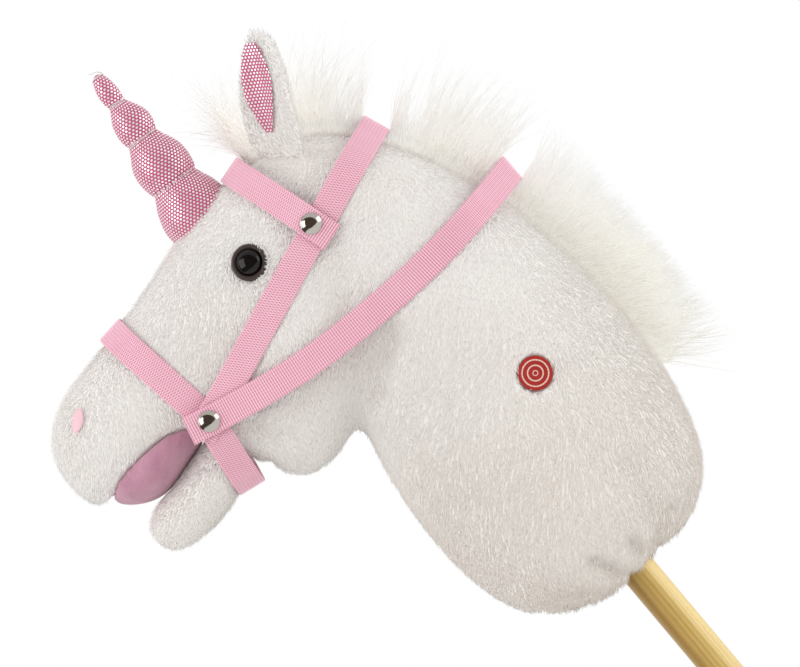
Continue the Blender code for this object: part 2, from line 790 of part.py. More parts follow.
def rivet_pair(name, place, inner, outer):
    """Domed rivet and its back washer on each side, clenched behind the straps."""
    washer_top = inner - outer - 2 * SEAT_GAP
    washer_end = washer_top - RIVET_BACK
    clench_top = washer_end - SEAT_GAP
    clench_end = clench_top - RIVET_CLENCH
    dome = [
        (RIVET_CAP_RADIUS * math.cos(turn), RIVET_RIM + (RIVET_CAP_HEIGHT - RIVET_RIM) * math.sin(turn))
        for turn in np.linspace(math.pi / 2, 0.0, DOME_STEPS)
    ]
    profile = [(0.0, RIVET_CAP_HEIGHT)] + dome[1:] + [(RIVET_CAP_RADIUS, 0.0), (RIVET_SHANK_RADIUS, 0.0)]
    profile += [(RIVET_SHANK_RADIUS, clench_top), (RIVET_CLENCH_RADIUS, clench_top)]
    profile += [(RIVET_CLENCH_RADIUS, clench_end), (0.0, clench_end)]
    bore = RIVET_SHANK_RADIUS + BORE_GAP
    washer = [(bore, washer_top), (RIVET_BACK_RADIUS, washer_top)]
    washer += [(RIVET_BACK_RADIUS, washer_end), (bore, washer_end)]
    for side_name, side in SIDES:
        seat_name = f"{name}_seat_{side_name}"
        seat = rod(seat_name, RIVET_BACK_RADIUS + BORE_GAP, clench_end - SEAT_GAP, EXIT, None, is_cutter=True)
        cap = turned(f"{name}_cap_{side_name}", profile, NICKEL, SMALL_STEPS)
        back = turned(f"{name}_back_{side_name}", washer, NICKEL, SMALL_STEPS, ring=True)
        for made in (seat, cap, back):
            made.location = point(place, side * (outer + SEAT_GAP))
            made.rotation_euler = facing(Vector((0.0, side, 0.0)))
        cut(head, seat)


through_hole("lower_rivet_hole", LOWER_RIVET, (noseband, chin_strap, headstall, reins))
through_hole("upper_rivet_hole", UPPER_RIVET, (headstall, browband))
rivet_pair("rivet_lower", LOWER_RIVET, nose_level, rein_level + STRAP_THICKNESS)
rivet_pair("rivet_upper", UPPER_RIVET, stall_level, brow_level + STRAP_THICKNESS)


def seated(made, place, normal):
    """Stand a piece on the skin, its own Z outwards."""
    made.location = place
    made.rotation_euler = facing(normal)


def eye(side_name, place, normal):
    """Safety eye: a dome on a stem, a brown rim round it and a lock washer behind the cloth."""
    floor = -EYE_SINK
    plate_top = floor + EYE_PLATE
    rise = EYE_DOME_HEIGHT - EYE_RIM_HEIGHT
    dome = [
        (EYE_DOME_RADIUS * math.cos(turn), EYE_RIM_HEIGHT + rise * math.sin(turn))
        for turn in np.linspace(math.pi / 2, 0.0, DOME_STEPS)
    ]
    body = [(0.0, EYE_DOME_HEIGHT)] + dome[1:]
    body += [(EYE_DOME_RADIUS, plate_top), (EYE_PLATE_RADIUS, plate_top), (EYE_PLATE_RADIUS, floor)]
    body += [(EYE_STEM_RADIUS, floor), (EYE_STEM_RADIUS, -EYE_STEM), (0.0, -EYE_STEM)]
    seated(turned("eye_dome_" + side_name, body, EYE_BLACK), place, normal)
    inner, outer = EYE_DOME_RADIUS + BORE_GAP, EYE_RIM_RADIUS
    middle, half = (inner + outer) / 2, (outer - inner) / 2
    rim = [
        (middle - half * math.cos(turn), EYE_RIM_EDGE + (EYE_RIM_HEIGHT - EYE_RIM_EDGE) * math.sin(turn))
        for turn in np.linspace(0.0, math.pi, DOME_STEPS + 1)
    ]
    rim += [(outer, plate_top + SEAT_GAP), (inner, plate_top + SEAT_GAP)]
    seated(turned("eye_rim_" + side_name, rim, EYE_BROWN, ring=True), place, normal)
    bore = EYE_STEM_RADIUS + BORE_GAP
    end = -WASHER_DEPTH - WASHER_THICKNESS
    washer = [(bore, -WASHER_DEPTH), (WASHER_RADIUS, -WASHER_DEPTH), (WASHER_RADIUS, end), (bore, end)]
    seated(turned("eye_washer_" + side_name, washer, NYLON, SMALL_STEPS, ring=True), place, normal)
    rim_hole, washer_hole = outer + BORE_GAP, WASHER_RADIUS + BORE_GAP
    socket = [(0.0, EXIT), (rim_hole, EXIT), (rim_hole, floor - SEAT_GAP), (bore, floor - SEAT_GAP)]
    socket += [(bore, -WASHER_DEPTH + SEAT_GAP), (washer_hole, -WASHER_DEPTH + SEAT_GAP)]
    socket += [(washer_hole, end - SEAT_GAP), (bore, end - SEAT_GAP)]
    socket += [(bore, -EYE_STEM - SEAT_GAP), (0.0, -EYE_STEM - SEAT_GAP)]
    pocket = turned("eye_socket_" + side_name, socket, None, is_cutter=True)
    seated(pocket, place, normal)
    return pocket


def nostril(side_name, side, place, normal):
    """Embroidered oval on the muzzle."""
    bm = bmesh.new()
    bmesh.ops.create_uvsphere(bm, u_segments=SMALL_STEPS, v_segments=SMALL_STEPS // 2, radius=1.0)
    bmesh.ops.scale(bm, vec=(NOSTRIL_LONG, NOSTRIL_SHORT, NOSTRIL_RISE), verts=bm.verts)
    made = piece("nostril_" + side_name, closed_mesh("nostril_" + side_name, bm), THREAD)
    turn = Matrix.Rotation(side * NOSTRIL_TURN, 4, "Z")
    made.matrix_world = Matrix.Translation(place) @ facing(normal).to_matrix().to_4x4() @ turn
    cut(made, head_seat)


side_views = [(side_name, side, Vector((0.0, -side, 0.0))) for side_name, side in SIDES]
eye_seats, nostril_seats = [
    [skin_under((head,), point(place, side * CLEAR_OUT), way) for _, side, way in side_views]
    for place in (EYE_PLACE, NOSTRIL_PLACE)
]
for (side_name, side, _), eye_seat, nostril_seat in zip(side_views, eye_seats, nostril_seats):
    cut(head, eye(side_name, *eye_seat))
    nostril(side_name, side, *nostril_seat)

# Stick and its rubber foot
foot_bore = DOWEL_RADIUS + BORE_GAP
foot_radius = foot_bore + FOOT_WALL
foot_top = FOOT_FLOOR + FOOT_SLEEVE
foot_profile = [(0.0, FOOT_FLOOR), (foot_bore, FOOT_FLOOR), (foot_bore, foot_top)]
foot_profile += [(foot_radius - FOOT_RIB, foot_top), (foot_radius, foot_top - FOOT_RIB)]
for k in range(FOOT_RIBS):
    groove = foot_top - FOOT_SLEEVE * (k + 1) / (FOOT_RIBS + 2)
    foot_profile += [(foot_radius, groove + FOOT_RIB), (foot_radius - FOOT_RIB, groove)]
    foot_profile += [(foot_radius, groove - FOOT_RIB)]
foot_profile += [(foot_radius, FOOT_EDGE), (foot_radius - FOOT_EDGE, 0.0), (0.0, 0.0)]
turned("stick_foot_cap", foot_profile, RUBBER)
dowel_top = HEM_HEIGHT + DOWEL_IN_NECK
dowel_foot = FOOT_FLOOR + SEAT_GAP
dowel_profile = [(0.0, dowel_top), (DOWEL_RADIUS - DOWEL_EDGE, dowel_top)]
dowel_profile += [(DOWEL_RADIUS, dowel_top - DOWEL_EDGE), (DOWEL_RADIUS, dowel_foot), (0.0, dowel_foot)]
turned("stick_dowel", dowel_profile, WOOD)

# Tie that draws the hem in on the stick
tie_low = HEM_HEIGHT + TIE_HEIGHT
tie_high = tie_low + TIE_BAND
tie_radius = foot_bore + TIE_THICKNESS
tie_profile = [(foot_bore, tie_high), (tie_radius, tie_high), (tie_radius, tie_low), (foot_bore, tie_low)]
turned("hem_tie", tie_profile, NYLON, ring=True)
groove_radius, groove_low, groove_high = tie_radius + BORE_GAP, tie_low - SEAT_GAP, tie_high + SEAT_GAP
bore_profile = [(0.0, dowel_top + SEAT_GAP), (foot_bore, dowel_top + SEAT_GAP), (foot_bore, groove_high)]
bore_profile += [(groove_radius, groove_high), (groove_radius, groove_low), (foot_bore, groove_low)]
bore_profile += [(foot_bore, HEM_HEIGHT - EXIT), (0.0, HEM_HEIGHT - EXIT)]
cut(neck, turned("dowel_bore", bore_profile, None, is_cutter=True))

# Sound box: its own Z runs inwards from the skin under the patch
patch_skin, patch_normal = skin_under((neck,), point(PATCH_PLACE, -CLEAR_OUT), Vector((0.0, 1.0, 0.0)))
sound_axis = bpy.data.objects.new("sound_axis", None)
parts.objects.link(sound_axis)
sound_axis.location = patch_skin
sound_axis.rotation_euler = facing(-patch_normal)

patch_under = PATCH_THICKNESS - PATCH_PROUD
button_top = patch_under + SEAT_GAP
front_inside = BOX_DEPTH + BOX_WALL
front_end = BOX_DEPTH + FRONT_DEEP
back_start = front_end + SEAT_GAP
back_end = back_start + BACK_DEEP
back_inside = back_end - BOX_WALL
flange_top = front_inside + SEAT_GAP
flange_end = flange_top + BUTTON_FLANGE
stem_end = flange_end + BUTTON_STEM
switch_top = stem_end + BUTTON_TRAVEL + SEAT_GAP
board_top = switch_top + SWITCH_HEIGHT
board_end = board_top + BOARD_THICKNESS
screw_top = back_end + SEAT_GAP + SCREW_HEAD
cell_middle = back_inside - SEAT_GAP - CELL_RADIUS
post_x, post_y = BOX_WIDE / 2 - POST_INSET, BOX_TALL / 2 - POST_INSET
posts = ((-post_x, -post_y), (post_x, post_y))
inside_wide, inside_tall = BOX_WIDE - 2 * BOX_WALL, BOX_TALL - 2 * BOX_WALL
cover_post = (0.0, inside_tall / 2 - POST_RADIUS + POST_BITE)
cell_high = cover_post[1] - POST_RADIUS - CELL_CLEAR - CELL_RADIUS
speaker_place = (0.0, SPEAKER_CLEAR + SPEAKER_RADIUS - inside_tall / 2)
cover_low = cell_high - CELL_RADIUS - SEAT_GAP
cover_high = BOX_TALL / 2 - BOX_WALL - SEAT_GAP
cover_middle = (0.0, (cover_low + cover_high) / 2)
cover_tall = cover_high - cover_low


def mounted(made):
    """Hang a piece or a cutter on the sound box's axis."""
    made.parent = sound_axis
    return made


def bored(target, name, radius, low, high, center):
    """Round hole along the sound box's axis."""
    cut(target, mounted(rod(name, radius, low, high, None, center, HOLE_STEPS, is_cutter=True)))


def joined(target, name, radius, low, high, center):
    """Round post on a shell of the sound box."""
    cut(target, mounted(rod(name, radius, low, high, None, center, HOLE_STEPS, is_cutter=True)), "UNION")


def screw(name, tip, center):
    """Small pan-head screw from the back of the box."""
    under_head = screw_top - SCREW_HEAD
    profile = [(0.0, screw_top), (SCREW_HEAD_RADIUS, screw_top), (SCREW_HEAD_RADIUS, under_head)]
    profile += [(SCREW_RADIUS, under_head), (SCREW_RADIUS, tip), (0.0, tip)]
    made = mounted(turned(name, profile, STEEL, SMALL_STEPS))
    made.location = (*center, 0.0)


mounted(rod("press_patch", PATCH_RADIUS, -PATCH_PROUD, patch_under, STITCH_RED))
button_profile = [(0.0, stem_end), (BUTTON_STEM_RADIUS, stem_end), (BUTTON_STEM_RADIUS, flange_end)]
button_profile += [(BUTTON_FLANGE_RADIUS, flange_end), (BUTTON_FLANGE_RADIUS, flange_top)]
button_profile += [(BUTTON_RADIUS, flange_top), (BUTTON_RADIUS, button_top), (0.0, button_top)]
mounted(turned("push_button", button_profile, BOX_PLASTIC))

inner_corner = BOX_CORNER - BOX_WALL
front = mounted(block("sound_box_front", BOX_WIDE, BOX_TALL, BOX_DEPTH, front_end, BOX_CORNER, BOX_PLASTIC))
inside = (inside_wide, inside_tall)
hollow = block("front_hollow", *inside, front_inside, front_end + EXIT, inner_corner, None, True)
cut(front, mounted(hollow))
bored(front, "button_hole", BUTTON_RADIUS + BORE_GAP, 0.0, front_inside + SEAT_GAP, (0.0, 0.0))
for k, center in enumerate(posts):
    joined(front, f"front_post_{k}", POST_RADIUS, front_inside - POST_BITE, front_end, center)
    bored(front, f"pilot_{k}", SCREW_RADIUS + BORE_GAP, flange_end, front_end + EXIT, center)
for k, edge in enumerate((-1, 1)):
    rest_place = (0.0, edge * (BOARD_TALL / 2 - 2 * BOARD_REST_RADIUS))
    rest_end = board_top - SEAT_GAP
    joined(front, f"board_rest_{k}", BOARD_REST_RADIUS, front_inside - POST_BITE, rest_end, rest_place)

back = mounted(block("sound_box_back", BOX_WIDE, BOX_TALL, back_start, back_end, BOX_CORNER, BOX_PLASTIC))
hollow = block("back_hollow", *inside, back_start - EXIT, back_inside, inner_corner, None, True)
cut(back, mounted(hollow))
for k, center in enumerate(posts):
    joined(back, f"back_post_{k}", POST_RADIUS, back_start, back_inside + POST_BITE, center)
    bored(back, f"screw_way_{k}", SCREW_RADIUS + BORE_GAP, back_start - EXIT, back_end + EXIT, center)
    screw(f"case_screw_{k + 1}", flange_end + SEAT_GAP, center)
joined(back, "cover_post", POST_RADIUS, back_start + BOX_WALL, back_inside - SEAT_GAP, cover_post)
opening_size = (COVER_WIDE + 2 * BORE_GAP, cover_tall + 2 * BORE_GAP)
opening_low = back_inside - SEAT_GAP / 2
opening = block("battery_opening", *opening_size, opening_low, back_end + EXIT, 0.0, None, True, cover_middle)
cut(back, mounted(opening))
cover_tip = back_inside - COVER_SCREW
bored(back, "cover_pilot", SCREW_RADIUS + BORE_GAP, cover_tip - SEAT_GAP, back_end + EXIT, cover_post)
screw("cover_screw", cover_tip, cover_post)
cover_size = (COVER_WIDE, cover_tall)
cover = block("battery_cover", *cover_size, back_inside, back_end, 0.0, BOX_PLASTIC, False, cover_middle)
mounted(cover)
bored(cover, "cover_screw_way", SCREW_RADIUS + BORE_GAP, back_inside - EXIT, back_end + EXIT, cover_post)
sound_places = [speaker_place]
for k in range(SOUND_HOLES):
    turn = math.tau * k / SOUND_HOLES
    aside, above = SOUND_HOLE_RING * math.cos(turn), SOUND_HOLE_RING * math.sin(turn)
    sound_places.append((speaker_place[0] + aside, speaker_place[1] + above))
for k, center in enumerate(sound_places):
    bored(back, f"sound_hole_{k}", SOUND_HOLE_RADIUS, back_inside - SOUND_HOLE_LEAD, back_end + EXIT, center)

board = mounted(block("circuit_board", BOARD_WIDE, BOARD_TALL, board_top, board_end, 0.0, BOARD_GREEN))
joined(board, "dome_switch", SWITCH_RADIUS, switch_top, board_top + BOARD_THICKNESS / 2, (0.0, 0.0))
speaker_end = back_inside - SEAT_GAP
speaker_low = speaker_end - SPEAKER_THICKNESS
speaker_profile = [(0.0, speaker_end - SPEAKER_DISH), (SPEAKER_CONE_RADIUS, speaker_end - SPEAKER_DISH)]
speaker_profile += [(SPEAKER_ROLL_RADIUS, speaker_end), (SPEAKER_RADIUS, speaker_end)]
frame_end = speaker_end - SPEAKER_FRAME
speaker_profile += [(SPEAKER_RADIUS, frame_end), (SPEAKER_MAGNET_RADIUS, frame_end)]
speaker_profile += [(SPEAKER_MAGNET_RADIUS, speaker_low), (0.0, speaker_low)]
speaker = mounted(turned("speaker", speaker_profile, STEEL))
speaker.location = (*speaker_place, 0.0)
for k in range(CELLS):
    cell = mounted(rod(f"button_cell_{k + 1}", CELL_RADIUS, -CELL_THICKNESS / 2, CELL_THICKNESS / 2, STEEL))
    cell.location = ((k - (CELLS - 1) / 2) * (CELL_THICKNESS + CELL_GAP), cell_high, cell_middle)
    cell.rotation_euler = (0.0, math.pi / 2, 0.0)

well = rod("patch_well", PATCH_RADIUS + BORE_GAP, -EXIT, BOX_DEPTH, None, is_cutter=True)
cut(neck, mounted(well))
pocket_size = (BOX_WIDE + 2 * BORE_GAP, BOX_TALL + 2 * BORE_GAP)
pocket_deep = (BOX_DEPTH - SEAT_GAP, screw_top + SEAT_GAP)
pocket = block("sound_pocket", *pocket_size, *pocket_deep, BOX_CORNER, None, True)
cut(neck, mounted(pocket))
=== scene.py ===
"""Looks of the hobby horse: pile, mane, woven bridle, foil-dot horn and every finish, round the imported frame."""

import math

import bmesh
import bpy
import numpy as np
from mathutils import Matrix, Vector, noise
from mathutils.bvhtree import BVHTree


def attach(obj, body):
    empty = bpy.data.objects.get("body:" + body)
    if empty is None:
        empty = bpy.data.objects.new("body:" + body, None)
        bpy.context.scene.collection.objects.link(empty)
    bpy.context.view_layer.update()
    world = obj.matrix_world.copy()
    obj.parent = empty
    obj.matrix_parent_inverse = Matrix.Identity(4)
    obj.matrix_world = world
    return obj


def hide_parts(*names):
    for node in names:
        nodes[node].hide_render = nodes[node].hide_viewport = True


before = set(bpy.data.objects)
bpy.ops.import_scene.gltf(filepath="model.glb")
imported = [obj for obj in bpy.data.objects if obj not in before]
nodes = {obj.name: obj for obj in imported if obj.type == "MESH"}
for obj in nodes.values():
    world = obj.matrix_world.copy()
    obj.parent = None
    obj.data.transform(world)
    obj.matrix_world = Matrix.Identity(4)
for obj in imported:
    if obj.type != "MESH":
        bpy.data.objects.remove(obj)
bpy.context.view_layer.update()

MM = 0.001
HEM_HEIGHT = 0.55
SKIN_INSET, STRAP_ROOM = 0.9 * MM, 0.6 * MM
LEFT, RIGHT = -1, 1
SIDES = (("left", LEFT), ("right", RIGHT))
scatter = np.random.default_rng(seed=41)
noise.seed_set(41)  # noise_vector takes its offsets from this seed, and from the clock without it


class Wire:
    """A socket inside a material; arithmetic on it adds Math nodes."""

    def __init__(self, finish, socket):
        self.finish = finish
        self.socket = socket

    def __getitem__(self, name):
        return Wire(self.finish, self.socket.node.outputs[name])

    def maths(self, operation, *values):
        return self.finish.add("ShaderNodeMath", {"operation": operation}, dict(enumerate((self, *values))))


def operator_of(operation, turned=False):
    """Python operator that adds a Math node, with its two values turned round if asked."""
    if turned:
        return lambda self, other: self.finish.add("ShaderNodeMath", {"operation": operation}, {0: other, 1: self})
    return lambda self, other: self.maths(operation, other)


for sign, operation in (("add", "ADD"), ("radd", "ADD"), ("sub", "SUBTRACT"), ("mul", "MULTIPLY"), ("rmul", "MULTIPLY"),
                        ("truediv", "DIVIDE"), ("pow", "POWER"), ("gt", "GREATER_THAN")):
    setattr(Wire, f"__{sign}__", operator_of(operation))
Wire.__rsub__ = operator_of("SUBTRACT", turned=True)


class Finish:
    """A material in the making, with one method that adds any node."""

    def __init__(self, name):
        self.material = bpy.data.materials.new(name)
        self.material.use_nodes = True
        self.tree = self.material.node_tree
        self.shader = self.tree.nodes["Principled BSDF"]
        self.output = self.tree.nodes["Material Output"]

    def add(self, kind, settings=None, inputs=None):
        node = self.tree.nodes.new(kind)
        for name, value in (settings or {}).items():
            if name == "stops":
                self.fill_ramp(node.color_ramp, value)
            else:
                setattr(node, name, value)
        for key, value in (inputs or {}).items():
            self.join(node.inputs[key], value)
        first = next(socket for socket in node.outputs if socket.enabled)
        return Wire(self, first)

    def join(self, socket, value):
        if isinstance(value, Wire):
            self.tree.links.new(value.socket, socket)
        elif isinstance(value, tuple) and len(value) == 3 and socket.type == "RGBA":
            socket.default_value = (*value, 1.0)
        else:
            socket.default_value = value

    def fill_ramp(self, ramp, stops):
        while len(ramp.elements) < len(stops):
            ramp.elements.new(1.0)
        for element, (place, color) in zip(ramp.elements, stops):
            element.position = place
            element.color = (*color, 1.0)

    def place(self):
        return self.add("ShaderNodeTexCoord")["Object"]

    def apart(self, vector):
        """The three numbers of a vector."""
        split = self.add("ShaderNodeSeparateXYZ", None, {0: vector})
        return split["X"], split["Y"], split["Z"]

    def scaled(self, vector, scale, turn=(0.0, 0.0, 0.0), move=(0.0, 0.0, 0.0)):
        inputs = {"Vector": vector, "Location": move, "Rotation": turn, "Scale": scale}
        return self.add("ShaderNodeMapping", {"vector_type": "TEXTURE"}, inputs)

    def noise(self, vector, size, detail=2.0, roughness=0.5, distortion=0.0):
        """Soft random number over the surface, with features of about that size in metres."""
        inputs = {"Vector": vector, "Scale": 1 / size, "Detail": detail, "Roughness": roughness}
        return self.add("ShaderNodeTexNoise", None, {**inputs, "Distortion": distortion})

    def attribute(self, name):
        return self.add("ShaderNodeAttribute", {"attribute_name": name})["Fac"]

    def mix(self, share, first, second):
        """Colour between two others."""
        settings = {"data_type": "RGBA", "clamp_factor": True}
        return self.add("ShaderNodeMix", settings, {0: share, 6: first, 7: second})

    def shaded(self, color, strength):
        """Colour times a number."""
        settings = {"data_type": "RGBA", "blend_type": "MULTIPLY", "clamp_factor": True}
        grey = self.add("ShaderNodeCombineColor", None, {0: strength, 1: strength, 2: strength})
        return self.add("ShaderNodeMix", settings, {0: 1.0, 6: color, 7: grey})

    def bump(self, height, distance, strength):
        return self.add("ShaderNodeBump", None, {"Height": height, "Distance": distance, "Strength": strength})

    def rise(self, value, low, high):
        """Smooth rise from 0 to 1 while the value goes from low to high."""
        return self.add("ShaderNodeMapRange", {"interpolation_type": "SMOOTHSTEP"}, {0: value, 1: low, 2: high})

    def map(self, name):
        """The two numbers of the piece's own map."""
        return self.apart(self.add("ShaderNodeUVMap", {"uv_map": name}))[:2]

    def surface(self, **sockets):
        """Sets the shader's sockets, underscores standing for spaces."""
        for name, value in sockets.items():
            self.join(self.shader.inputs[name.replace("_", " ")], value)
        return self.material


def wave(phase):
    """Number that goes from 0 to 1 and back as the phase turns."""
    return phase.maths("SINE") * 0.5 + 0.5


def plush_finish(name, root_color, tip_color, tint_and_shade_color, patch_size=35 * MM, passing=0.0):
    """Pile: paler at the tips, with painted shade towards the roots and low on the neck, random warm patches, and some
    light let through if asked.
    """
    finish = Finish(name)
    reach, tone = finish.attribute("reach"), finish.attribute("tone")
    patches = finish.noise(finish.place(), patch_size, detail=3.0)
    # Painted shade: strands darken towards their roots, in place of shade deep in the pile.
    body = finish.mix(reach ** 0.7, root_color, tip_color)
    _, _, height = finish.apart(finish.place())
    # Painted shade: the pile turns darker and warmer low on the neck, blended with random warm patches.
    lower = finish.rise(height, LOW_SHADE_FROM, LOW_SHADE_FULL)
    tint_and_low_shade = finish.noise(finish.place(), 70 * MM, detail=2.0) * 1.2 - 0.55 + lower * 0.8
    tinted = finish.mix(tint_and_low_shade, body, finish.mix(0.75, body, tint_and_shade_color))
    color = finish.shaded(tinted, 0.97 + tone * 0.03 + (patches - 0.5) * 0.07)
    finish.surface(Base_Color=color, Roughness=0.82 + patches * 0.14, Sheen_Weight=0.05, Specular_IOR_Level=0.1)
    if passing > 0:
        passed = finish.add("ShaderNodeBsdfTranslucent", None, {"Color": tip_color})
        coated = Wire(finish, finish.shader.outputs[0])
        blended = finish.add("ShaderNodeMixShader", None, {0: passing, 1: coated, 2: passed})
        finish.join(finish.output.inputs["Surface"], blended)
    return finish.material


def backing_finish(name, color, shade):
    """Cloth that the pile stands on, with short fluff as bump."""
    finish = Finish(name)
    place = finish.place()
    fluff = finish.noise(place, 1.6 * MM, detail=4.0, roughness=0.7)
    patches = finish.noise(place, 30 * MM)
    body = finish.mix(fluff * 0.6 + patches * 0.4, shade, color)
    normal = finish.bump(fluff, 0.8 * MM, 0.9)
    return finish.surface(Base_Color=body, Roughness=0.9 + patches * 0.08, Normal=normal, Sheen_Weight=0.2)


def webbing_finish(name, light, dark):
    """Woven tape: pale floats in a brick bond over a darker ground, partly painted shade between the floats, and cross
    ribs where the attribute asks.
    """
    finish = Finish(name)
    along, across = finish.map("tape")
    wander = finish.noise(finish.place(), 12 * MM) - 0.5
    pick = (along * (math.tau / WEAVE_PITCH) + wander * 0.7).maths("COSINE")
    end = (across * (math.tau / WEAVE_ROW) + wander * 0.5).maths("COSINE")
    bricks = (pick * end + 1.0) * 0.5
    ribs = (pick + 1.0) * 0.35 + (across * (2 * math.tau / WEAVE_ROW)).maths("COSINE") * 0.12 + 0.15
    ribbed = finish.attribute("ribs")
    weave = bricks + (ribs - bricks) * ribbed
    floats = finish.rise(weave, 0.22, 0.62)
    twist = wave(across * (math.tau / (0.42 * MM)) + along * (math.tau / (0.9 * MM)))
    worn = finish.noise(finish.place(), 24 * MM, detail=3.0) - 0.5
    share = floats * 0.85 + twist * 0.12 + worn * 0.22
    # The darker ground between floats is partly the weave's own tone, partly painted shade.
    color = finish.mix(share, dark, light)
    normal = finish.bump(floats * 0.8 + twist * 0.2, 0.3 * MM, 0.7)
    return finish.surface(Base_Color=color, Roughness=0.46 + floats * 0.25, Normal=normal, Sheen_Weight=0.2)


def foil_dot_finish(name, cloth, foil):
    """Pink jersey printed with rows of silver foil dots, every other row half a step along."""
    finish = Finish(name)
    x, y = finish.map("cloth")
    row = y / (DOT_PITCH * 0.866)
    shift = row.maths("FLOOR").maths("FLOORED_MODULO", 2.0) * 0.5
    across = (x / DOT_PITCH + shift).maths("FRACT") - 0.5
    up = row.maths("FRACT") - 0.5
    far = (across * across + up * up * 0.75).maths("SQRT")
    worn = finish.noise(finish.place(), 6 * MM, detail=4.0, roughness=0.7)
    dot = 1.0 - finish.rise(far + (worn - 0.5) * 0.10, 0.25, 0.34)
    cloth_noise = finish.noise(finish.place(), 0.5 * MM, detail=2.0)
    cloth_color = finish.shaded(cloth, 0.82 + cloth_noise * 0.3)
    color = finish.mix(dot, cloth_color, foil)
    normal = finish.bump(cloth_noise * (1.0 - dot) + dot * 0.8, 0.12 * MM, 0.5)
    roughness = 0.62 - dot * (0.30 + worn * 0.12)
    return finish.surface(Base_Color=color, Metallic=dot * 0.35, Roughness=roughness, Normal=normal, Sheen_Weight=0.15)


def jersey_finish(name, light, dark):
    """Short-napped jersey of the mouth, with bump folds whose valleys carry painted shade."""
    finish = Finish(name)
    place = finish.place()
    nap = finish.noise(finish.scaled(place, (2.0, 1.0, 1.0)), 0.9 * MM, detail=4.0, roughness=0.75)
    folds = finish.noise(finish.scaled(place, (1.0, 1.0, 2.4), turn=(0.0, 0.75, 0.0)), 11 * MM, detail=3.0)
    # Painted shade: the colour darkens where the bump folds run low.
    color = finish.mix(nap * 0.6 + folds * 0.9 - 0.25, dark, light)
    normal = finish.bump(nap + folds * 3.0, 0.8 * MM, 0.9)
    return finish.surface(Base_Color=color, Roughness=0.86 + nap * 0.1, Normal=normal, Sheen_Weight=0.35)


def thread_finish(name, light, dark, ridge):
    """Satin stitch: slim threads side by side along the piece's own map."""
    finish = Finish(name)
    along, across = finish.map("stitch")
    twist = wave(across * (math.tau / ridge) + along * (math.tau / (3.2 * ridge)))
    thread = wave(across * (math.tau / ridge))
    uneven = finish.noise(finish.place(), 2.5 * MM, detail=3.0)
    share = thread * 0.55 + twist * 0.2 + uneven * 0.3
    normal = finish.bump(share, 0.2 * MM, 0.7)
    color = finish.mix(share, dark, light)
    return finish.surface(Base_Color=color, Roughness=0.55 - thread * 0.2, Normal=normal, Sheen_Weight=0.2)


def ringed_stitch_finish(name, light, dark, pale):
    """Round mark in red satin stitch, with pale rings stitched over it."""
    finish = Finish(name)
    x, y = finish.map("stitch")
    radius = (x * x + y * y).maths("SQRT")
    thread = wave(x * (math.tau / (0.5 * MM)) + y * (math.tau / (2.4 * MM)))
    uneven = finish.noise(finish.place(), 1.4 * MM, detail=3.0)
    red = finish.mix(thread * 0.7 + uneven * 0.4, dark, light)
    wobble = radius + (uneven - 0.5) * 0.35 * MM
    pale_share = finish.rise((wobble * (math.tau / RING_PITCH) - 1.0).maths("SINE"), 0.55, 0.85)
    stitches = wave(y.maths("ARCTAN2", x) * 26.0)
    color = finish.mix(pale_share * (radius > 1.2 * MM), red, finish.shaded(pale, 0.75 + stitches * 0.3))
    normal = finish.bump(thread * 0.5 + stitches * pale_share * 0.8, 0.2 * MM, 0.7)
    return finish.surface(Base_Color=color, Roughness=0.52 - thread * 0.15, Normal=normal, Specular_IOR_Level=0.35)


def wood_finish():
    """Turned pale dowel: long grain, painted shade on one side and painted light on the other, fine lines and a few
    pores.
    """
    finish = Finish("pale_wood_grain")
    place = finish.place()
    sweep = finish.noise(finish.scaled(place, (1.0, 1.0, 26.0)), 9 * MM, detail=3.0, distortion=0.6)
    x, _, _ = finish.apart(place)
    lines = finish.add("ShaderNodeTexWave", {"wave_type": "RINGS", "rings_direction": "Z"}, {
        "Vector": finish.scaled(place, (1.0, 1.0, 40.0), move=(0.014, 0.006, 0.0)),
        "Scale": 160.0, "Distortion": 3.2, "Detail": 3.0, "Detail Scale": 2.0,
    })
    pores = finish.noise(finish.scaled(place, (1.0, 1.0, 18.0)), 0.5 * MM, detail=2.0)
    pore = (pores > 0.66) * 0.35
    # Painted shade and light: darker towards -x and lighter towards +x, in place of the dowel's round shading.
    painted_side_shade_and_light = finish.rise(x, -8 * MM, 8 * MM)
    color = finish.add("ShaderNodeValToRGB", {"stops": (
        (0.0, (0.30, 0.165, 0.03)), (0.45, (0.53, 0.34, 0.085)), (1.0, (0.82, 0.63, 0.25)),
    )}, {0: lines * 0.18 + sweep * 0.6 + painted_side_shade_and_light * 0.7 - 0.3 - pore * 0.5})
    normal = finish.bump(lines * 0.5 + sweep * 0.3 - pore, 0.15 * MM, 0.4)
    return finish.surface(Base_Color=color, Roughness=0.34 + sweep * 0.2, Normal=normal,
                          Coat_Weight=0.35, Coat_Roughness=0.2)


def speckled_finish(name, color, shade, roughness, metallic=0.0, size=4 * MM, bump=0.05 * MM):
    """Moulded, plated or pressed surface with faint mottling and fine scuffs."""
    finish = Finish(name)
    place = finish.place()
    mottle = finish.noise(place, size, detail=3.0)
    scuff = finish.noise(finish.scaled(place, (1.0, 5.0, 1.0), turn=(0.4, 0.2, 0.6)), size / 8, detail=4.0)
    body = finish.mix(mottle * 0.7 + scuff * 0.3, shade, color)
    normal = finish.bump(scuff, bump, 0.3)
    return finish.surface(Base_Color=body, Metallic=metallic, Roughness=roughness + (scuff - 0.5) * 0.12, Normal=normal)


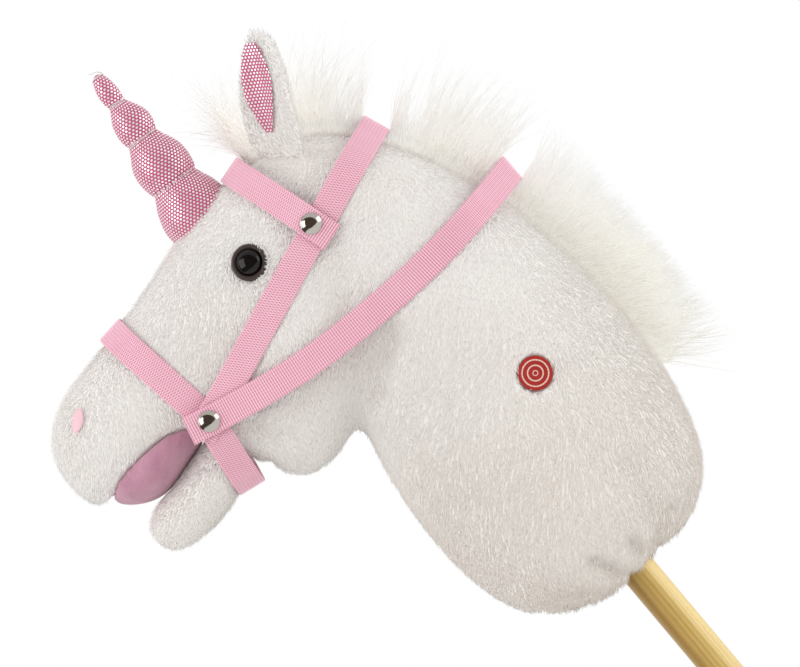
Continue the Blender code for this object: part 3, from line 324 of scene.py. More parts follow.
WEAVE_PITCH, WEAVE_ROW, DOT_PITCH, RING_PITCH = 1.6 * MM, 4.2 * MM, 2.3 * MM, 3.3 * MM
LOW_SHADE_FROM, LOW_SHADE_FULL = HEM_HEIGHT + 0.23, HEM_HEIGHT + 0.05
# Root colours are darker than the tips as painted shade deep in the pile; the mane's ivory root is partly its own tone.
WHITE_ROOT, WHITE_TIP = (0.84, 0.805, 0.77), (0.865, 0.83, 0.795)
IVORY_ROOT, IVORY_TIP = (0.95, 0.92, 0.83), (0.985, 0.98, 0.965)
# The third colour is the painted shade low on the neck.
plush_pile = plush_finish("white_plush_pile", WHITE_ROOT, WHITE_TIP, (0.70, 0.62, 0.55))
plush_backing = backing_finish("white_plush_backing", (0.89, 0.86, 0.83), (0.83, 0.795, 0.755))
mane_pile = plush_finish("ivory_mane_pile", IVORY_ROOT, IVORY_TIP, (0.97, 0.93, 0.82), 22 * MM, passing=0.24)
mane_backing = backing_finish("ivory_mane_backing", (0.93, 0.89, 0.79), (0.86, 0.81, 0.69))
webbing = webbing_finish("pink_webbing_weave", (0.95, 0.60, 0.70), (0.66, 0.20, 0.31))
foil_cloth = foil_dot_finish("foil_dot_cloth_mapped", (0.50, 0.075, 0.18), (0.98, 0.95, 0.96))
jersey = jersey_finish("dusty_pink_jersey", (0.69, 0.37, 0.48), (0.36, 0.13, 0.20))
pink_thread = thread_finish("pink_satin_stitch", (0.93, 0.66, 0.71), (0.80, 0.44, 0.51), 0.5 * MM)
red_thread = ringed_stitch_finish("red_satin_stitch", (0.52, 0.018, 0.010), (0.24, 0.006, 0.004), (0.85, 0.60, 0.50))
pale_thread = thread_finish("pale_thread", (0.86, 0.80, 0.78), (0.55, 0.42, 0.44), 0.3 * MM)
wood = wood_finish()
rubber = speckled_finish("black_rubber_grain", (0.045, 0.043, 0.042), (0.022, 0.021, 0.02), 0.72, size=3 * MM)
eye_gloss = speckled_finish("eye_black_gloss", (0.008, 0.007, 0.006), (0.003, 0.002, 0.002), 0.07, bump=0.0)
eye_gloss.node_tree.nodes["Principled BSDF"].inputs["Specular IOR Level"].default_value = 0.28
eye_ring = speckled_finish("eye_brown_ring", (0.060, 0.038, 0.032), (0.030, 0.018, 0.014), 0.45, size=2 * MM)
nickel = speckled_finish("nickel_plate", (0.56, 0.53, 0.48), (0.46, 0.43, 0.38), 0.12, 1.0, size=5 * MM, bump=0.02 * MM)
nylon = speckled_finish("white_nylon", (0.78, 0.78, 0.75), (0.66, 0.66, 0.63), 0.5)
case_plastic = speckled_finish("case_plastic", (0.74, 0.74, 0.72), (0.62, 0.62, 0.60), 0.45)
board_green = speckled_finish("board_green", (0.04, 0.24, 0.09), (0.02, 0.13, 0.05), 0.4, size=2 * MM)
zinc = speckled_finish("zinc_steel", (0.64, 0.64, 0.66), (0.48, 0.48, 0.50), 0.3, 1.0)

PILE_LENGTH, PILE_WIDTH, PILE_CELL = 7.0 * MM, 0.52 * MM, 1.62 * MM
PIECE_FACES = 190000
# How far off a surface a ray starts, how far it looks for what covers a root, and the least room that pile needs.
RAY_LIFT, PILE_SEEN, PILE_ROOM, PILE_OPEN = 0.3 * MM, 9 * MM, 0.9 * MM, 2.2 * MM
JOWL, JOWL_REACH = np.array((-0.092, 0.0, HEM_HEIGHT + 0.205)), 36 * MM
NAP = Vector((-0.643, 0.0, -0.766))
PATCH_PROUD, PATCH_RADIUS, PRESS_ROOM = 0.6 * MM, 10.5 * MM, 3.3 * MM
PATCH_SEEN, PATCH_BLEND = 12 * MM, 4 * MM
WELL_RADIUS, WELL_LOW, WELL_DEEP = 12.0 * MM, 0.2 * MM, 6.0 * MM
WALL_BAND, WALL_GAP = 2.6 * MM, 0.12 * MM
# Creases: a line seen from the side, in x and height over the hem, then half its width and its depth, all in mm.
FOLDS = (
    (((-52.0, 187.5), (-42.9, 195.9), (-28.5, 203.6), (-11.6, 210.7)), 7.5, 9.0),
    (((-17.7, 24.9), (-13.3, 14.1), (-9.8, 4.2)), 4.5, 5.5),
    (((8.7, 17.8), (7.3, 9.5), (5.0, 1.2)), 4.5, 6.0),
    (((39.7, 16.2), (27.8, 10.4), (17.5, 4.8), (10.1, 1.6)), 5.0, 5.5),
    (((-57.3, 21.9), (-41.1, 13.0), (-22.5, 6.9)), 6.0, 2.5),
    (((-120.3, 218.3), (-118.9, 206.9), (-108.4, 200.5), (-98.2, 206.1)), 5.0, 3.8),
    (((-92.9, 209.6), (-82.6, 208.8), (-71.8, 202.8)), 5.5, 3.6),
    (((-137.1, 194.6), (-128.6, 195.3), (-124.4, 187.1)), 5.0, 2.6),
    (((-22.3, 156.6), (-36.7, 135.6), (-48.7, 115.7), (-50.0, 101.0), (-35.4, 85.5)), 8.0, 2.6),
    (((39.8, 53.9), (32.3, 31.8), (21.3, 15.9)), 8.0, 3.2),
)
GATHERS, GATHER_DEEP, GATHER_RISE, STICK_CLEAR = 11, 3.8 * MM, 38 * MM, 13.5 * MM
CLOTH_FRAMES, CLOTH_PRESSURE, CLOTH_CAP = 20, 4.0, 1.4 * MM
INNER_NODES = ("hem_tie", "eye_washer_left", "eye_washer_right", "push_button", "sound_box_front",
               "sound_box_back", "battery_cover", "circuit_board", "speaker")
SOFT_NODES = ("neck_plush", "head_plush", "lower_jaw_plush", "ear_left", "ear_right", "mane", "forelock")


def linked(name, data):
    """New object in the scene."""
    made = bpy.data.objects.new(name, data)
    bpy.context.scene.collection.objects.link(made)
    return made


def new_piece(name, mesh, finish, slot, body="root"):
    """Object for a finished mesh, in its finish, riding on its body."""
    made = linked(name, mesh)
    mesh.materials.clear()
    mesh.materials.append(finish)
    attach(made, body)
    return made


def mesh_from(bm, name, smooth=True):
    mesh = bpy.data.meshes.new(name)
    bm.to_mesh(mesh)
    bm.free()
    if smooth:
        mesh.shade_smooth()
    return mesh


def copy_of(*names):
    """Bmesh of copies of CAD nodes, with their corners merged."""
    bm = bmesh.new()
    for name in names:
        bm.from_mesh(nodes[name].data)
    bmesh.ops.remove_doubles(bm, verts=bm.verts, dist=0.01 * MM)
    return bm


def evaluated_mesh(made):
    bpy.context.view_layer.update()
    return bpy.data.meshes.new_from_object(made.evaluated_get(bpy.context.evaluated_depsgraph_get()))


def vectors_of(items, key):
    flat = np.empty(len(items) * 3, np.float32)
    items.foreach_get(key, flat)
    return flat.reshape(-1, 3).astype(float)


def corners_of(mesh):
    return vectors_of(mesh.vertices, "co")


def normals_of(mesh):
    return vectors_of(mesh.vertex_normals, "vector")


def set_corners(mesh, places):
    mesh.vertices.foreach_set("co", places.astype(np.float32).ravel())


def loop_corners(mesh):
    """Which of its points each face corner of a mesh uses."""
    index = np.empty(len(mesh.loops), np.int32)
    mesh.loops.foreach_get("vertex_index", index)
    return index


def add_map(mesh, name, flat):
    mesh.uv_layers.new(name=name).data.foreach_set("uv", flat.astype(np.float32).ravel())


def add_numbers(mesh, name, values):
    mesh.attributes.new(name, "FLOAT", "POINT").data.foreach_set("value", values.astype(np.float32))


def tree_of(bms):
    """Ray tree over several bmeshes, which it frees."""
    joined = bmesh.new()
    for bm in bms:
        mesh = mesh_from(bm, "part_of_tree", smooth=False)
        joined.from_mesh(mesh)
        bpy.data.meshes.remove(mesh)
    tree = BVHTree.FromBMesh(joined)
    joined.free()
    return tree


def free_way(tree, starts, ways, reach):
    """How far each ray goes before it meets the tree, at most its reach."""
    far = np.array(reach, float)
    for k in range(len(starts)):
        met = tree.ray_cast(Vector(starts[k]), Vector(ways[k]), far[k])
        if met[0] is not None:
            far[k] = met[3]
    return far


def modified(name, data, *modifiers):
    """Mesh of some data after modifiers, each a kind and its settings."""
    scratch = linked(name + "_scratch", data)
    for kind, settings in modifiers:
        modifier = scratch.modifiers.new(kind.lower(), kind)
        for setting, value in settings.items():
            setattr(modifier, setting, value)
    mesh = evaluated_mesh(scratch)
    bpy.data.objects.remove(scratch)
    return mesh


def remeshed(bm, name, voxel, inset):
    """Even quads over a form, drawn in by an inset."""
    return modified(name, mesh_from(bm, name), ("REMESH", {"mode": "VOXEL", "voxel_size": voxel}),
                    ("SMOOTH", {"iterations": 6}), ("DISPLACE", {"strength": -inset, "mid_level": 0.0}))


def plumped(mesh, name):
    """The mesh after a cloth simulation under stuffing pressure, each point's move capped."""
    scratch = linked(name + "_cloth", mesh)
    cloth = scratch.modifiers.new("cloth", "CLOTH")
    cloth.settings.use_pressure = True
    cloth.settings.uniform_pressure_force = CLOTH_PRESSURE
    cloth.settings.effector_weights.gravity = 0.0
    scene = bpy.context.scene
    for step in range(1, CLOTH_FRAMES + 1):
        scene.frame_set(step)
    before = corners_of(mesh)
    settled = evaluated_mesh(scratch)
    move, normal = corners_of(settled) - before, normals_of(mesh)
    move -= normal * (move * normal).sum(axis=1).mean()
    far = np.linalg.norm(move, axis=1, keepdims=True)
    placed = before + move * np.minimum(1.0, CLOTH_CAP / np.maximum(far, 1e-9))
    set_corners(settled, placed)
    bpy.data.objects.remove(scratch)
    scene.frame_set(1)
    return settled


def subdivided(mesh, name):
    return modified(name, mesh, ("SUBSURF", {"levels": 1, "render_levels": 1}))


def through(matrix, places):
    """Places moved by a matrix."""
    matrix = np.array(matrix)
    return places @ matrix[:3, :3].T + matrix[:3, 3]


def folded(mesh):
    """Presses creases, gathers round the stick, the straps' tracks and the press patch's well into a stuffed skin."""
    places, normals = corners_of(mesh), normals_of(mesh)
    side_view = np.stack([places[:, 0], places[:, 2] - HEM_HEIGHT], axis=1)
    deep = np.zeros(len(places))
    for line, half, most in FOLDS:
        line, half = np.array(line) * MM, half * MM
        far, along, passed = np.full(len(places), 1.0), np.zeros(len(places)), 0.0
        for first, second in zip(line[:-1], line[1:]):
            step = second - first
            share = np.clip((side_view - first) @ step / (step @ step), 0.0, 1.0)
            gap = np.linalg.norm(side_view - first - share[:, None] * step, axis=1)
            along = np.where(gap < far, passed + share * np.linalg.norm(step), along)
            far, passed = np.minimum(far, gap), passed + np.linalg.norm(step)
        fade = np.clip((passed - along) / (2 * half), 0.0, 1.0)
        deep += most * MM * fade * np.exp(-((far / half) ** 2))
    turn = np.arctan2(places[:, 1], places[:, 0])
    low = np.clip(1 - side_view[:, 1] / GATHER_RISE, 0.0, 1.0) ** 1.5
    deep += GATHER_DEEP * low * (0.5 + 0.5 * np.cos(GATHERS * turn + 1.7 * np.sin(2 * turn)))
    moved = places - normals * deep[:, None]
    close = (np.hypot(moved[:, 0], moved[:, 1]) < STICK_CLEAR) & (low > 0)
    moved[close] = places[close]
    room = free_way(hard_tree, moved - normals * 2.5 * MM, normals, np.full(len(moved), 4 * MM)) - 2.5 * MM
    moved -= normals * np.clip(STRAP_ROOM - room, 0.0, None)[:, None]
    local = through(patch_matrix.inverted(), moved)
    radial = np.hypot(local[:, 0], local[:, 1])
    under = (radial < PATCH_RADIUS + 0.5 * MM) & (np.abs(local[:, 2]) < 8 * MM)
    local[under, 2] = np.minimum(local[under, 2], -PRESS_ROOM)
    wall = under & (radial > PATCH_RADIUS - WALL_BAND)
    local[wall, :2] *= ((PATCH_RADIUS + WALL_GAP) / radial[wall])[:, None]
    moved[under] = through(patch_matrix, local[under])
    set_corners(mesh, moved)
    mesh.update()
    return mesh


def stuffed_skin(name, node_names, voxel, plug=None, inset=SKIN_INSET):
    """Cloth skin of a stuffed form: remeshed, plumped by its stuffing, made fine and creased."""
    bm = copy_of(*node_names)
    if plug is not None:
        bmesh.ops.create_cone(bm, cap_ends=True, segments=32, radius1=WELL_RADIUS, radius2=WELL_RADIUS,
                              depth=WELL_DEEP, matrix=plug)
    mesh = remeshed(bm, name, voxel, inset)
    mesh = plumped(mesh, name)
    skin = new_piece(name, folded(subdivided(mesh, name)), plush_backing, "white_plush")
    skin.data.shade_smooth()
    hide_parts(*node_names)
    return skin


def cad_corners(name):
    bm = copy_of(name)
    places = np.array([vert.co[:] for vert in bm.verts])
    bm.free()
    return places


def stance(place, normal):
    return Matrix.Translation(place) @ Vector(normal).to_track_quat("Z", "Y").to_matrix().to_4x4()


def round_stance(name, top, side):
    """Place and turn of a round CAD piece whose highest point stands that far over its own origin."""
    places = cad_corners(name)
    middle = places.mean(axis=0)
    axis = np.linalg.svd(places - middle)[2][2]
    axis *= np.sign(axis[1] * side)
    height = ((places - middle) @ axis).max()
    return stance(Vector(middle + axis * (height - top)), axis)


hard_names = [name for name in nodes if name not in SOFT_NODES and name not in INNER_NODES]
hard_tree = tree_of([copy_of(name) for name in hard_names])
patch_matrix = round_stance("press_patch", PATCH_PROUD, LEFT)
well_plug = patch_matrix @ Matrix.Translation((0.0, 0.0, -WELL_LOW - WELL_DEEP / 2))
body_skin = stuffed_skin("neck_and_head_skin", ("neck_plush", "head_plush"), 4.5 * MM, well_plug)
jaw_skin = stuffed_skin("lower_jaw_skin", ("lower_jaw_plush",), 3.0 * MM, inset=0.8 * MM)


def strand_shape(rings, fullness):
    """One strand, a unit long: a three-sided cone cut into rings and filled out, with a flat map of its own."""
    bm = bmesh.new()
    bmesh.ops.create_cone(bm, cap_ends=True, segments=3, radius1=1.0, radius2=0.0, depth=1.0)
    bmesh.ops.translate(bm, vec=(0.0, 0.0, 0.5), verts=bm.verts)
    lowest = min(bm.verts, key=lambda vert: round(vert.co.y, 4))
    turn = -math.pi / 2 - math.atan2(lowest.co.y, lowest.co.x)
    bmesh.ops.rotate(bm, matrix=Matrix.Rotation(turn, 3, "Z"), verts=bm.verts)
    for k in range(1, rings):
        geom = bm.verts[:] + bm.edges[:] + bm.faces[:]
        bmesh.ops.bisect_plane(bm, geom=geom, plane_co=(0.0, 0.0, k / rings), plane_no=(0.0, 0.0, 1.0))
    bmesh.ops.triangulate(bm, faces=bm.faces)
    for vert in bm.verts:
        height = vert.co.z
        if 0.0 < height < 1.0:
            vert.co.xy = vert.co.xy * ((1.0 - height**fullness) / (1.0 - height))
    bm.verts.ensure_lookup_table()
    corners = np.array([vert.co[:] for vert in bm.verts])
    faces, flat = [], []
    for face in bm.faces:
        faces.append([vert.index for vert in face.verts])
        middle = face.calc_center_median()
        facing = math.atan2(middle.y, middle.x)
        under = face.normal.z < -0.5
        for vert in face.verts:
            if under:
                flat.append((0.5 + 0.3 * vert.co.x, 0.06 + 0.05 * vert.co.y))
                continue
            turn = math.atan2(vert.co.y, vert.co.x) if vert.co.xy.length > 1e-6 else facing
            turn = facing + (turn - facing + math.pi) % math.tau - math.pi
            flat.append((0.5 + turn / (1.5 * math.tau), 0.14 + 0.84 * vert.co.z))
    bm.free()
    return corners, np.array(faces), np.array(flat)


def unit(vectors):
    return vectors / np.maximum(np.linalg.norm(vectors, axis=1, keepdims=True), 1e-9)


def strands(name, shape, grown, finish, slot, flat=0.3):
    """Piece made of many strands, each a copy of one shape along its own bent line."""
    corners, faces, chart = shape
    count, size = len(grown["root"]), len(corners)
    height = corners[:, 2][None, :, None]
    start, end, side = (grown[key][:, None, :] for key in ("start", "end", "side"))
    length, width = grown["length"][:, None, None], grown["width"][:, None, None]
    line = start * (height - height**2 / 2) + end * height**2 / 2
    ahead = start * (1 - height) + end * height
    across = side - ahead * (side * ahead).sum(axis=2, keepdims=True)
    across /= np.maximum(np.linalg.norm(across, axis=2, keepdims=True), 1e-9)
    thick = np.cross(ahead, across)
    thick /= np.maximum(np.linalg.norm(thick, axis=2, keepdims=True), 1e-9)
    x, y = corners[:, 0][None, :, None], corners[:, 1][None, :, None]
    places = grown["root"][:, None, :] + length * line + width * (across * x + thick * y * flat)
    mesh = bpy.data.meshes.new(name)
    mesh.vertices.add(count * size)
    set_corners(mesh, places)
    looped = (faces[None] + (np.arange(count) * size)[:, None, None]).reshape(-1)
    mesh.loops.add(len(looped))
    mesh.loops.foreach_set("vertex_index", looped.astype(np.int32))
    mesh.polygons.add(count * len(faces))
    mesh.polygons.foreach_set("loop_start", np.arange(0, len(looped), 3, dtype=np.int32))
    mesh.update(calc_edges=True)
    columns = math.ceil(math.sqrt(count))
    index = np.arange(count)
    cell = np.stack([index % columns, index // columns], axis=1)[:, None, :]
    add_map(mesh, "OFBake", (cell + chart[None]) / columns)
    add_numbers(mesh, "reach", np.tile(corners[:, 2], count))
    add_numbers(mesh, "tone", np.repeat(grown["tone"], size))
    made = new_piece(name, mesh, finish, slot)
    made.visible_diffuse = made.visible_shadow = False
    return made


def rooted(mesh, cell):
    """Root points spread evenly over a mesh, at most one in each small cell, with the skin's normals."""
    corners, normals = corners_of(mesh), normals_of(mesh)
    mesh.calc_loop_triangles()
    flat = np.empty(len(mesh.loop_triangles) * 3, np.int32)
    mesh.loop_triangles.foreach_get("vertices", flat)
    faces = flat.reshape(-1, 3)
    a, b, c = (corners[faces[:, k]] for k in range(3))
    area = np.linalg.norm(np.cross(b - a, c - a), axis=1) / 2
    tries = int(area.sum() / cell**2 * 3.5)
    pick = scatter.choice(len(faces), tries, p=area / area.sum())
    u, v = scatter.random(tries), scatter.random(tries)
    over = u + v > 1
    u[over], v[over] = 1 - u[over], 1 - v[over]
    shares = np.stack([1 - u - v, u, v], axis=1)[:, :, None]
    root = (corners[faces[pick]] * shares).sum(axis=1)
    normal = unit((normals[faces[pick]] * shares).sum(axis=1))
    keys = np.floor(root / cell).astype(np.int64)
    _, kept = np.unique(keys @ np.array([1, 100003, 10000600009]), return_index=True)
    return root[kept], normal[kept]


def grown_of(root, start, end, side, length, width, spread=(0.7, 1.2)):
    """All that strands() needs to know, with a width and a tone drawn for each strand."""
    return {
        "root": root, "start": start, "end": end, "side": side, "length": length,
        "width": width * scatter.uniform(*spread, len(root)), "tone": scatter.random(len(root)),
    }


def kept_of(grown, keep):
    return {key: values[keep] for key, values in grown.items()}


def clear_share(root, start, end, length, cut):
    """How much of each bent strand is clear of the hard pieces, cut a little shorter where one stops it."""
    middle = root + length[:, None] * (start * 0.375 + end * 0.125)
    tip = root + length[:, None] * (start + end) / 2
    first, second = middle - root, tip - middle
    reach_first, reach_second = np.linalg.norm(first, axis=1), np.linalg.norm(second, axis=1)
    way_first = free_way(hard_tree, root, unit(first), reach_first)
    way_second = free_way(hard_tree, middle, unit(second), reach_second)
    share = np.where(way_first >= reach_first, 0.5 + 0.5 * way_second / reach_second, 0.5 * way_first / reach_first)
    return np.where(share < 1.0, share * cut, 1.0)


def wandering(places, size, turn=0.0):
    """Smooth random vectors over space."""
    shift = Vector((turn, 2 * turn, -turn))
    return np.array([noise.noise_vector(Vector(place) / size + shift)[:] for place in places])


def patch_radius(places):
    """How far places are from the patch's axis, a metre more off its side of the neck, and their height on it."""
    local = through(patch_matrix.inverted(), places)
    return np.hypot(local[:, 0], local[:, 1]) + np.where(np.abs(local[:, 2]) < PATCH_SEEN, 0.0, 1.0), local[:, 2]


def coat(mesh, own_tree, cell, length, width, nap=NAP, lift=27.0, swirl=0.55):
    """Short pile over a skin: combed along the nap with swirls, flattened under what covers it."""
    root, normal = rooted(mesh, cell)
    room = free_way(hard_tree, root - normal * RAY_LIFT, normal, np.full(len(root), PILE_SEEN)) - RAY_LIFT
    closed = free_way(own_tree, root + normal * 2 * RAY_LIFT, normal, np.full(len(root), PILE_SEEN))
    keep = (room > PILE_ROOM) & (closed > PILE_OPEN)
    root, normal, room = root[keep], normal[keep], np.minimum(room, closed)[keep]
    count = len(root)
    comb = np.array(nap)[None] + swirl * wandering(root, 45 * MM) + 0.25 * wandering(root, 12 * MM, 5.0)
    curly = np.exp(-(((root - JOWL) * (1, 0, 1)) ** 2).sum(axis=1, keepdims=True) / JOWL_REACH**2)
    comb += 0.9 * curly * wandering(root, 8 * MM, 7.0) + 0.22 * scatter.normal(size=(count, 3))
    comb = unit(comb - normal * (comb * normal).sum(axis=1, keepdims=True))
    beside_patch = np.clip(1 - (patch_radius(root)[0] - PATCH_RADIUS) / PATCH_BLEND, 0.0, 1.0)[:, None]
    rise = np.radians(lift + 8 * scatter.normal(size=count))[:, None] + 0.7 * beside_patch
    lengths = length * scatter.uniform(0.72, 1.18, count)
    tall = lengths * (np.sin(rise[:, 0]) + 0.16) / 2
    press = np.clip((room - 0.2 * MM) / tall, 0.08, 1.0)[:, None]
    start = unit(comb * np.cos(rise) + normal * np.sin(rise) * press)
    end = unit(comb + normal * (0.16 + 0.7 * beside_patch + 0.10 * scatter.normal(size=(count, 1))) * press)
    tip = root + lengths[:, None] * (start + end) / 2
    share = clear_share(root, start, end, lengths, 0.9)
    radial, height = patch_radius(root)
    in_well = (radial < PATCH_RADIUS + 1.2 * MM) & (height < -1.0 * MM)
    over_patch = (patch_radius(tip)[0] < PATCH_RADIUS - 0.8 * MM) | (radial < PATCH_RADIUS + 0.15 * MM) | in_well
    grown = grown_of(root, start, end, unit(np.cross(comb, normal)), lengths * share, width, (0.75, 1.25))
    return kept_of(grown, (share > 0.3) & ~over_patch)


def split_coat(name, grown, shape, finish, slot):
    """Strands as pieces of a fair size, each halved along its longest side until it is."""
    heaps = [np.arange(len(grown["root"]))]
    while max(len(heap) for heap in heaps) * len(shape[1]) > PIECE_FACES:
        heap = max(heaps, key=len)
        places = grown["root"][heap]
        axis = int(np.argmax(places.max(axis=0) - places.min(axis=0)))
        order = heap[np.argsort(places[:, axis], kind="stable")]
        heaps = [other for other in heaps if other is not heap]
        heaps += [order[: len(order) // 2], order[len(order) // 2:]]
    heaps.sort(key=lambda heap: tuple(grown["root"][heap].mean(axis=0)))
    for k, heap in enumerate(heaps):
        strands(f"{name}_{k + 1}", shape, kept_of(grown, heap), finish, slot)


tuft_shape = strand_shape(2, 1.8)


def bm_of(made):
    bm = bmesh.new()
    bm.from_mesh(made.data)
    return bm


skin_tree = tree_of([bm_of(body_skin), bm_of(jaw_skin)])
body_pile = coat(body_skin.data, skin_tree, PILE_CELL, PILE_LENGTH, PILE_WIDTH)
split_coat("neck_and_head_pile", body_pile, tuft_shape, plush_pile, "white_plush")
jaw_pile = coat(jaw_skin.data, skin_tree, 1.7 * MM, 6.0 * MM, PILE_WIDTH)
split_coat("lower_jaw_pile", jaw_pile, tuft_shape, plush_pile, "white_plush")

EAR_NAP = Vector((0.42, 0.0, 0.90))
for side_name, side in SIDES:
    ear_name = "ear_" + side_name
    ear_mesh = remeshed(copy_of(ear_name), ear_name, 2.2 * MM, 1.2 * MM)
    ear_skin = new_piece(ear_name + "_skin", ear_mesh, plush_backing, "white_plush")
    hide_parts(ear_name)
    ear_tree = tree_of([bm_of(ear_skin), bm_of(body_skin)])
    ear_pile = coat(ear_skin.data, ear_tree, 1.7 * MM, 6.5 * MM, PILE_WIDTH, nap=EAR_NAP, swirl=0.3)
    split_coat(ear_name + "_pile", ear_pile, tuft_shape, plush_pile, "white_plush")

NAPE = Vector((-0.020, 0.0, HEM_HEIGHT + 0.200))
MANE_FRONT, MANE_REAR = 82.0, -46.0
LAY_FRONT, LAY_REAR = 32.0, -20.0
MANE_HALF, MANE_REACH, STRAP_SWAY, SHORTEST_HAIR = 16 * MM, 0.1395, 16 * MM, 6 * MM
TUFT_SEEN, TUFT_SHORT, TUFT_LONG = 8 * MM, 6 * MM, 11 * MM
ACROSS = np.array([0.0, 1.0, 0.0])
hair_shape = strand_shape(6, 1.5)


def away_from_nape(places):
    return unit((places - np.array(NAPE)) * (1.0, 0.0, 1.0))


def hair(mesh, cell, lay, short, long, long_share, width, own_tree, spread=0.22):
    """Long pile: a dense undercoat with longer wisps, in locks that stand upright beside the straps."""
    root, normal = rooted(mesh, cell)
    room = free_way(hard_tree, root + normal * RAY_LIFT, normal, np.full(len(root), 12 * MM))
    buried = free_way(own_tree, root + normal * 0.5 * MM, normal, np.full(len(root), 6 * MM))
    keep = (room > 1.5 * MM) & (buried > 1.2 * MM)
    root, normal = root[keep], normal[keep]
    count = len(root)
    lock, wide_lock = wandering(root, 9 * MM, 3.0), wandering(root, 30 * MM, 8.0)
    lean = lay(root) + ACROSS * (root[:, 1:2] / MANE_HALF) * 0.32
    stray = scatter.normal(size=(count, 3))
    rise = away_from_nape(root)
    start = unit(0.45 * normal + 0.8 * rise + 0.25 * lean + 0.16 * lock + 0.05 * stray)
    beside = np.array([hard_tree.find_nearest(Vector(place), STRAP_SWAY)[3] or STRAP_SWAY for place in root])
    upright = (1 - beside / STRAP_SWAY)[:, None]
    lean = unit(lean * (1 - upright) + rise * upright * 1.6)
    end = unit(lean + 0.7 * lock + 0.4 * wide_lock + spread * stray + np.array([0.0, 0.0, -0.10]))
    draw = scatter.random(count)
    length = np.where(draw < long_share, scatter.uniform(*long, count), scatter.uniform(*short, count))
    length = np.where(draw < 0.05, length * 1.25, length)
    tip = root + length[:, None] * (start + end) / 2
    over = np.clip((MANE_REACH - root[:, 0]) / np.maximum(tip[:, 0] - root[:, 0], 1e-6), 0.1, 1.0)
    length = np.where(tip[:, 0] > MANE_REACH, length * over * scatter.uniform(0.8, 1.0, count), length)
    length = length * clear_share(root, start, end, length, 0.92)
    grown = grown_of(root, start, end, unit(np.cross(end, normal) + 1e-6), length, width)
    return kept_of(grown, length > SHORTEST_HAIR)


def mane_lay(root):
    """Direction of the hair at a place on the crest: it sweeps backwards, lower towards the rear."""
    turn = np.degrees(np.arctan2(root[:, 2] - NAPE.z, root[:, 0] - NAPE.x))
    share = np.clip((turn - MANE_REAR) / (MANE_FRONT - MANE_REAR), 0.0, 1.0)
    lay = np.radians(LAY_REAR + (LAY_FRONT - LAY_REAR) * share)
    return np.stack([np.cos(lay), np.zeros(len(root)), np.sin(lay)], axis=1)


def forelock_lay(root):
    return np.tile([[0.10, 0.0, 1.0]], (len(root), 1))


def rooted_in_skin(mesh, reach):
    """Draws the foot of a tuft into the skin that it grows from."""
    places = corners_of(mesh)
    for k, place in enumerate(places):
        met, normal, _, far = skin_tree.find_nearest(Vector(place))
        if far < reach and (Vector(place) - met).dot(normal) > 0:
            places[k] += (np.array(met) - place) * (1 + 4 * MM / max(far, 1e-6)) * (1 - far / reach) ** 0.3
    set_corners(mesh, places)
    mesh.update()
    return mesh


mane_mesh = rooted_in_skin(remeshed(copy_of("mane"), "mane", 3.0 * MM, 4.5 * MM), 13 * MM)
mane_root = new_piece("mane_undercoat", mane_mesh, mane_backing, "ivory_pile")
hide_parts("mane")
mane_hair = hair(mane_root.data, 1.7 * MM, mane_lay, (15 * MM, 28 * MM), (34 * MM, 60 * MM), 0.38, 0.42 * MM, skin_tree)
split_coat("mane_hair", mane_hair, hair_shape, mane_pile, "ivory_pile")
forelock_mesh = rooted_in_skin(remeshed(copy_of("forelock"), "forelock", 2.0 * MM, 2.0 * MM), 7 * MM)
forelock_root = new_piece("forelock_undercoat", forelock_mesh, mane_backing, "ivory_pile")
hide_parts("forelock")
forelock_hair = hair(forelock_root.data, 1.7 * MM, forelock_lay, (10 * MM, 22 * MM), (26 * MM, 44 * MM), 0.6,
                     0.3 * MM, skin_tree, spread=0.34)
split_coat("forelock_hair", forelock_hair, hair_shape, mane_pile, "ivory_pile")


def seam_tufts(skin, pile_tree, reach, cell):
    """Tufts of the mane's pile that stand on the skin beside it and close the seam."""
    root, normal = rooted(skin, cell)
    beside = [pile_tree.find_nearest(Vector(place), reach)[0] is not None for place in root]
    root, normal = root[beside], normal[beside]
    room = free_way(hard_tree, root - normal * RAY_LIFT, normal, np.full(len(root), TUFT_SEEN))
    covered = free_way(pile_tree, root + normal * RAY_LIFT, normal, np.full(len(root), TUFT_SEEN))
    keep = (room > 3 * MM) & (covered > 7 * MM)
    root, normal = root[keep], normal[keep]
    count = len(root)
    rise = away_from_nape(root)
    stray = scatter.normal(size=(count, 3))
    start = unit(0.75 * normal + 0.7 * rise + 0.12 * stray)
    end = unit(0.8 * rise + 0.5 * mane_lay(root) + 0.14 * stray)
    length = scatter.uniform(TUFT_SHORT, TUFT_LONG, count)
    tip = root + length[:, None] * (start + end) / 2
    way = free_way(hard_tree, root, unit(tip - root), length)
    return kept_of(grown_of(root, start, end, unit(np.cross(end, normal) + 1e-6), length, 0.5 * MM), way >= length)


pile_tree = tree_of([bm_of(mane_root), bm_of(forelock_root)])
tufts = seam_tufts(body_skin.data, pile_tree, 3.2 * MM, 0.8 * MM)
split_coat("mane_seam_tufts", tufts, tuft_shape, mane_pile, "ivory_pile")

STRAP_HALF, STRAP_THICK, STRAP_RELIEF = 9.0 * MM, 1.4 * MM, 0.15 * MM
WEAVE_STEP, ROW_STEP = WEAVE_PITCH / 2, WEAVE_ROW / 6
HOLE_RADIUS, STRAP_SWERVE = 2.3 * MM, 0.45 * MM
LOWER_RIVET = Vector((-0.1395, 0.0, HEM_HEIGHT + 0.2374))
UPPER_RIVET = Vector((-0.0170, 0.0, HEM_HEIGHT + 0.2885))
NOSEBAND_TOP = Vector((-0.1510, 0.0, HEM_HEIGHT + 0.3180))
CHIN_LOW = Vector((-0.1456, 0.0, HEM_HEIGHT + 0.1960))
CROWN_TOP = Vector((0.0560, 0.0, HEM_HEIGHT + 0.3120))
BROWBAND_TOP = Vector((-0.0345, 0.0, HEM_HEIGHT + 0.3490))
REIN_REACH, REIN_DROP = 0.236, math.radians(13)
RIB_REACH = 13 * MM


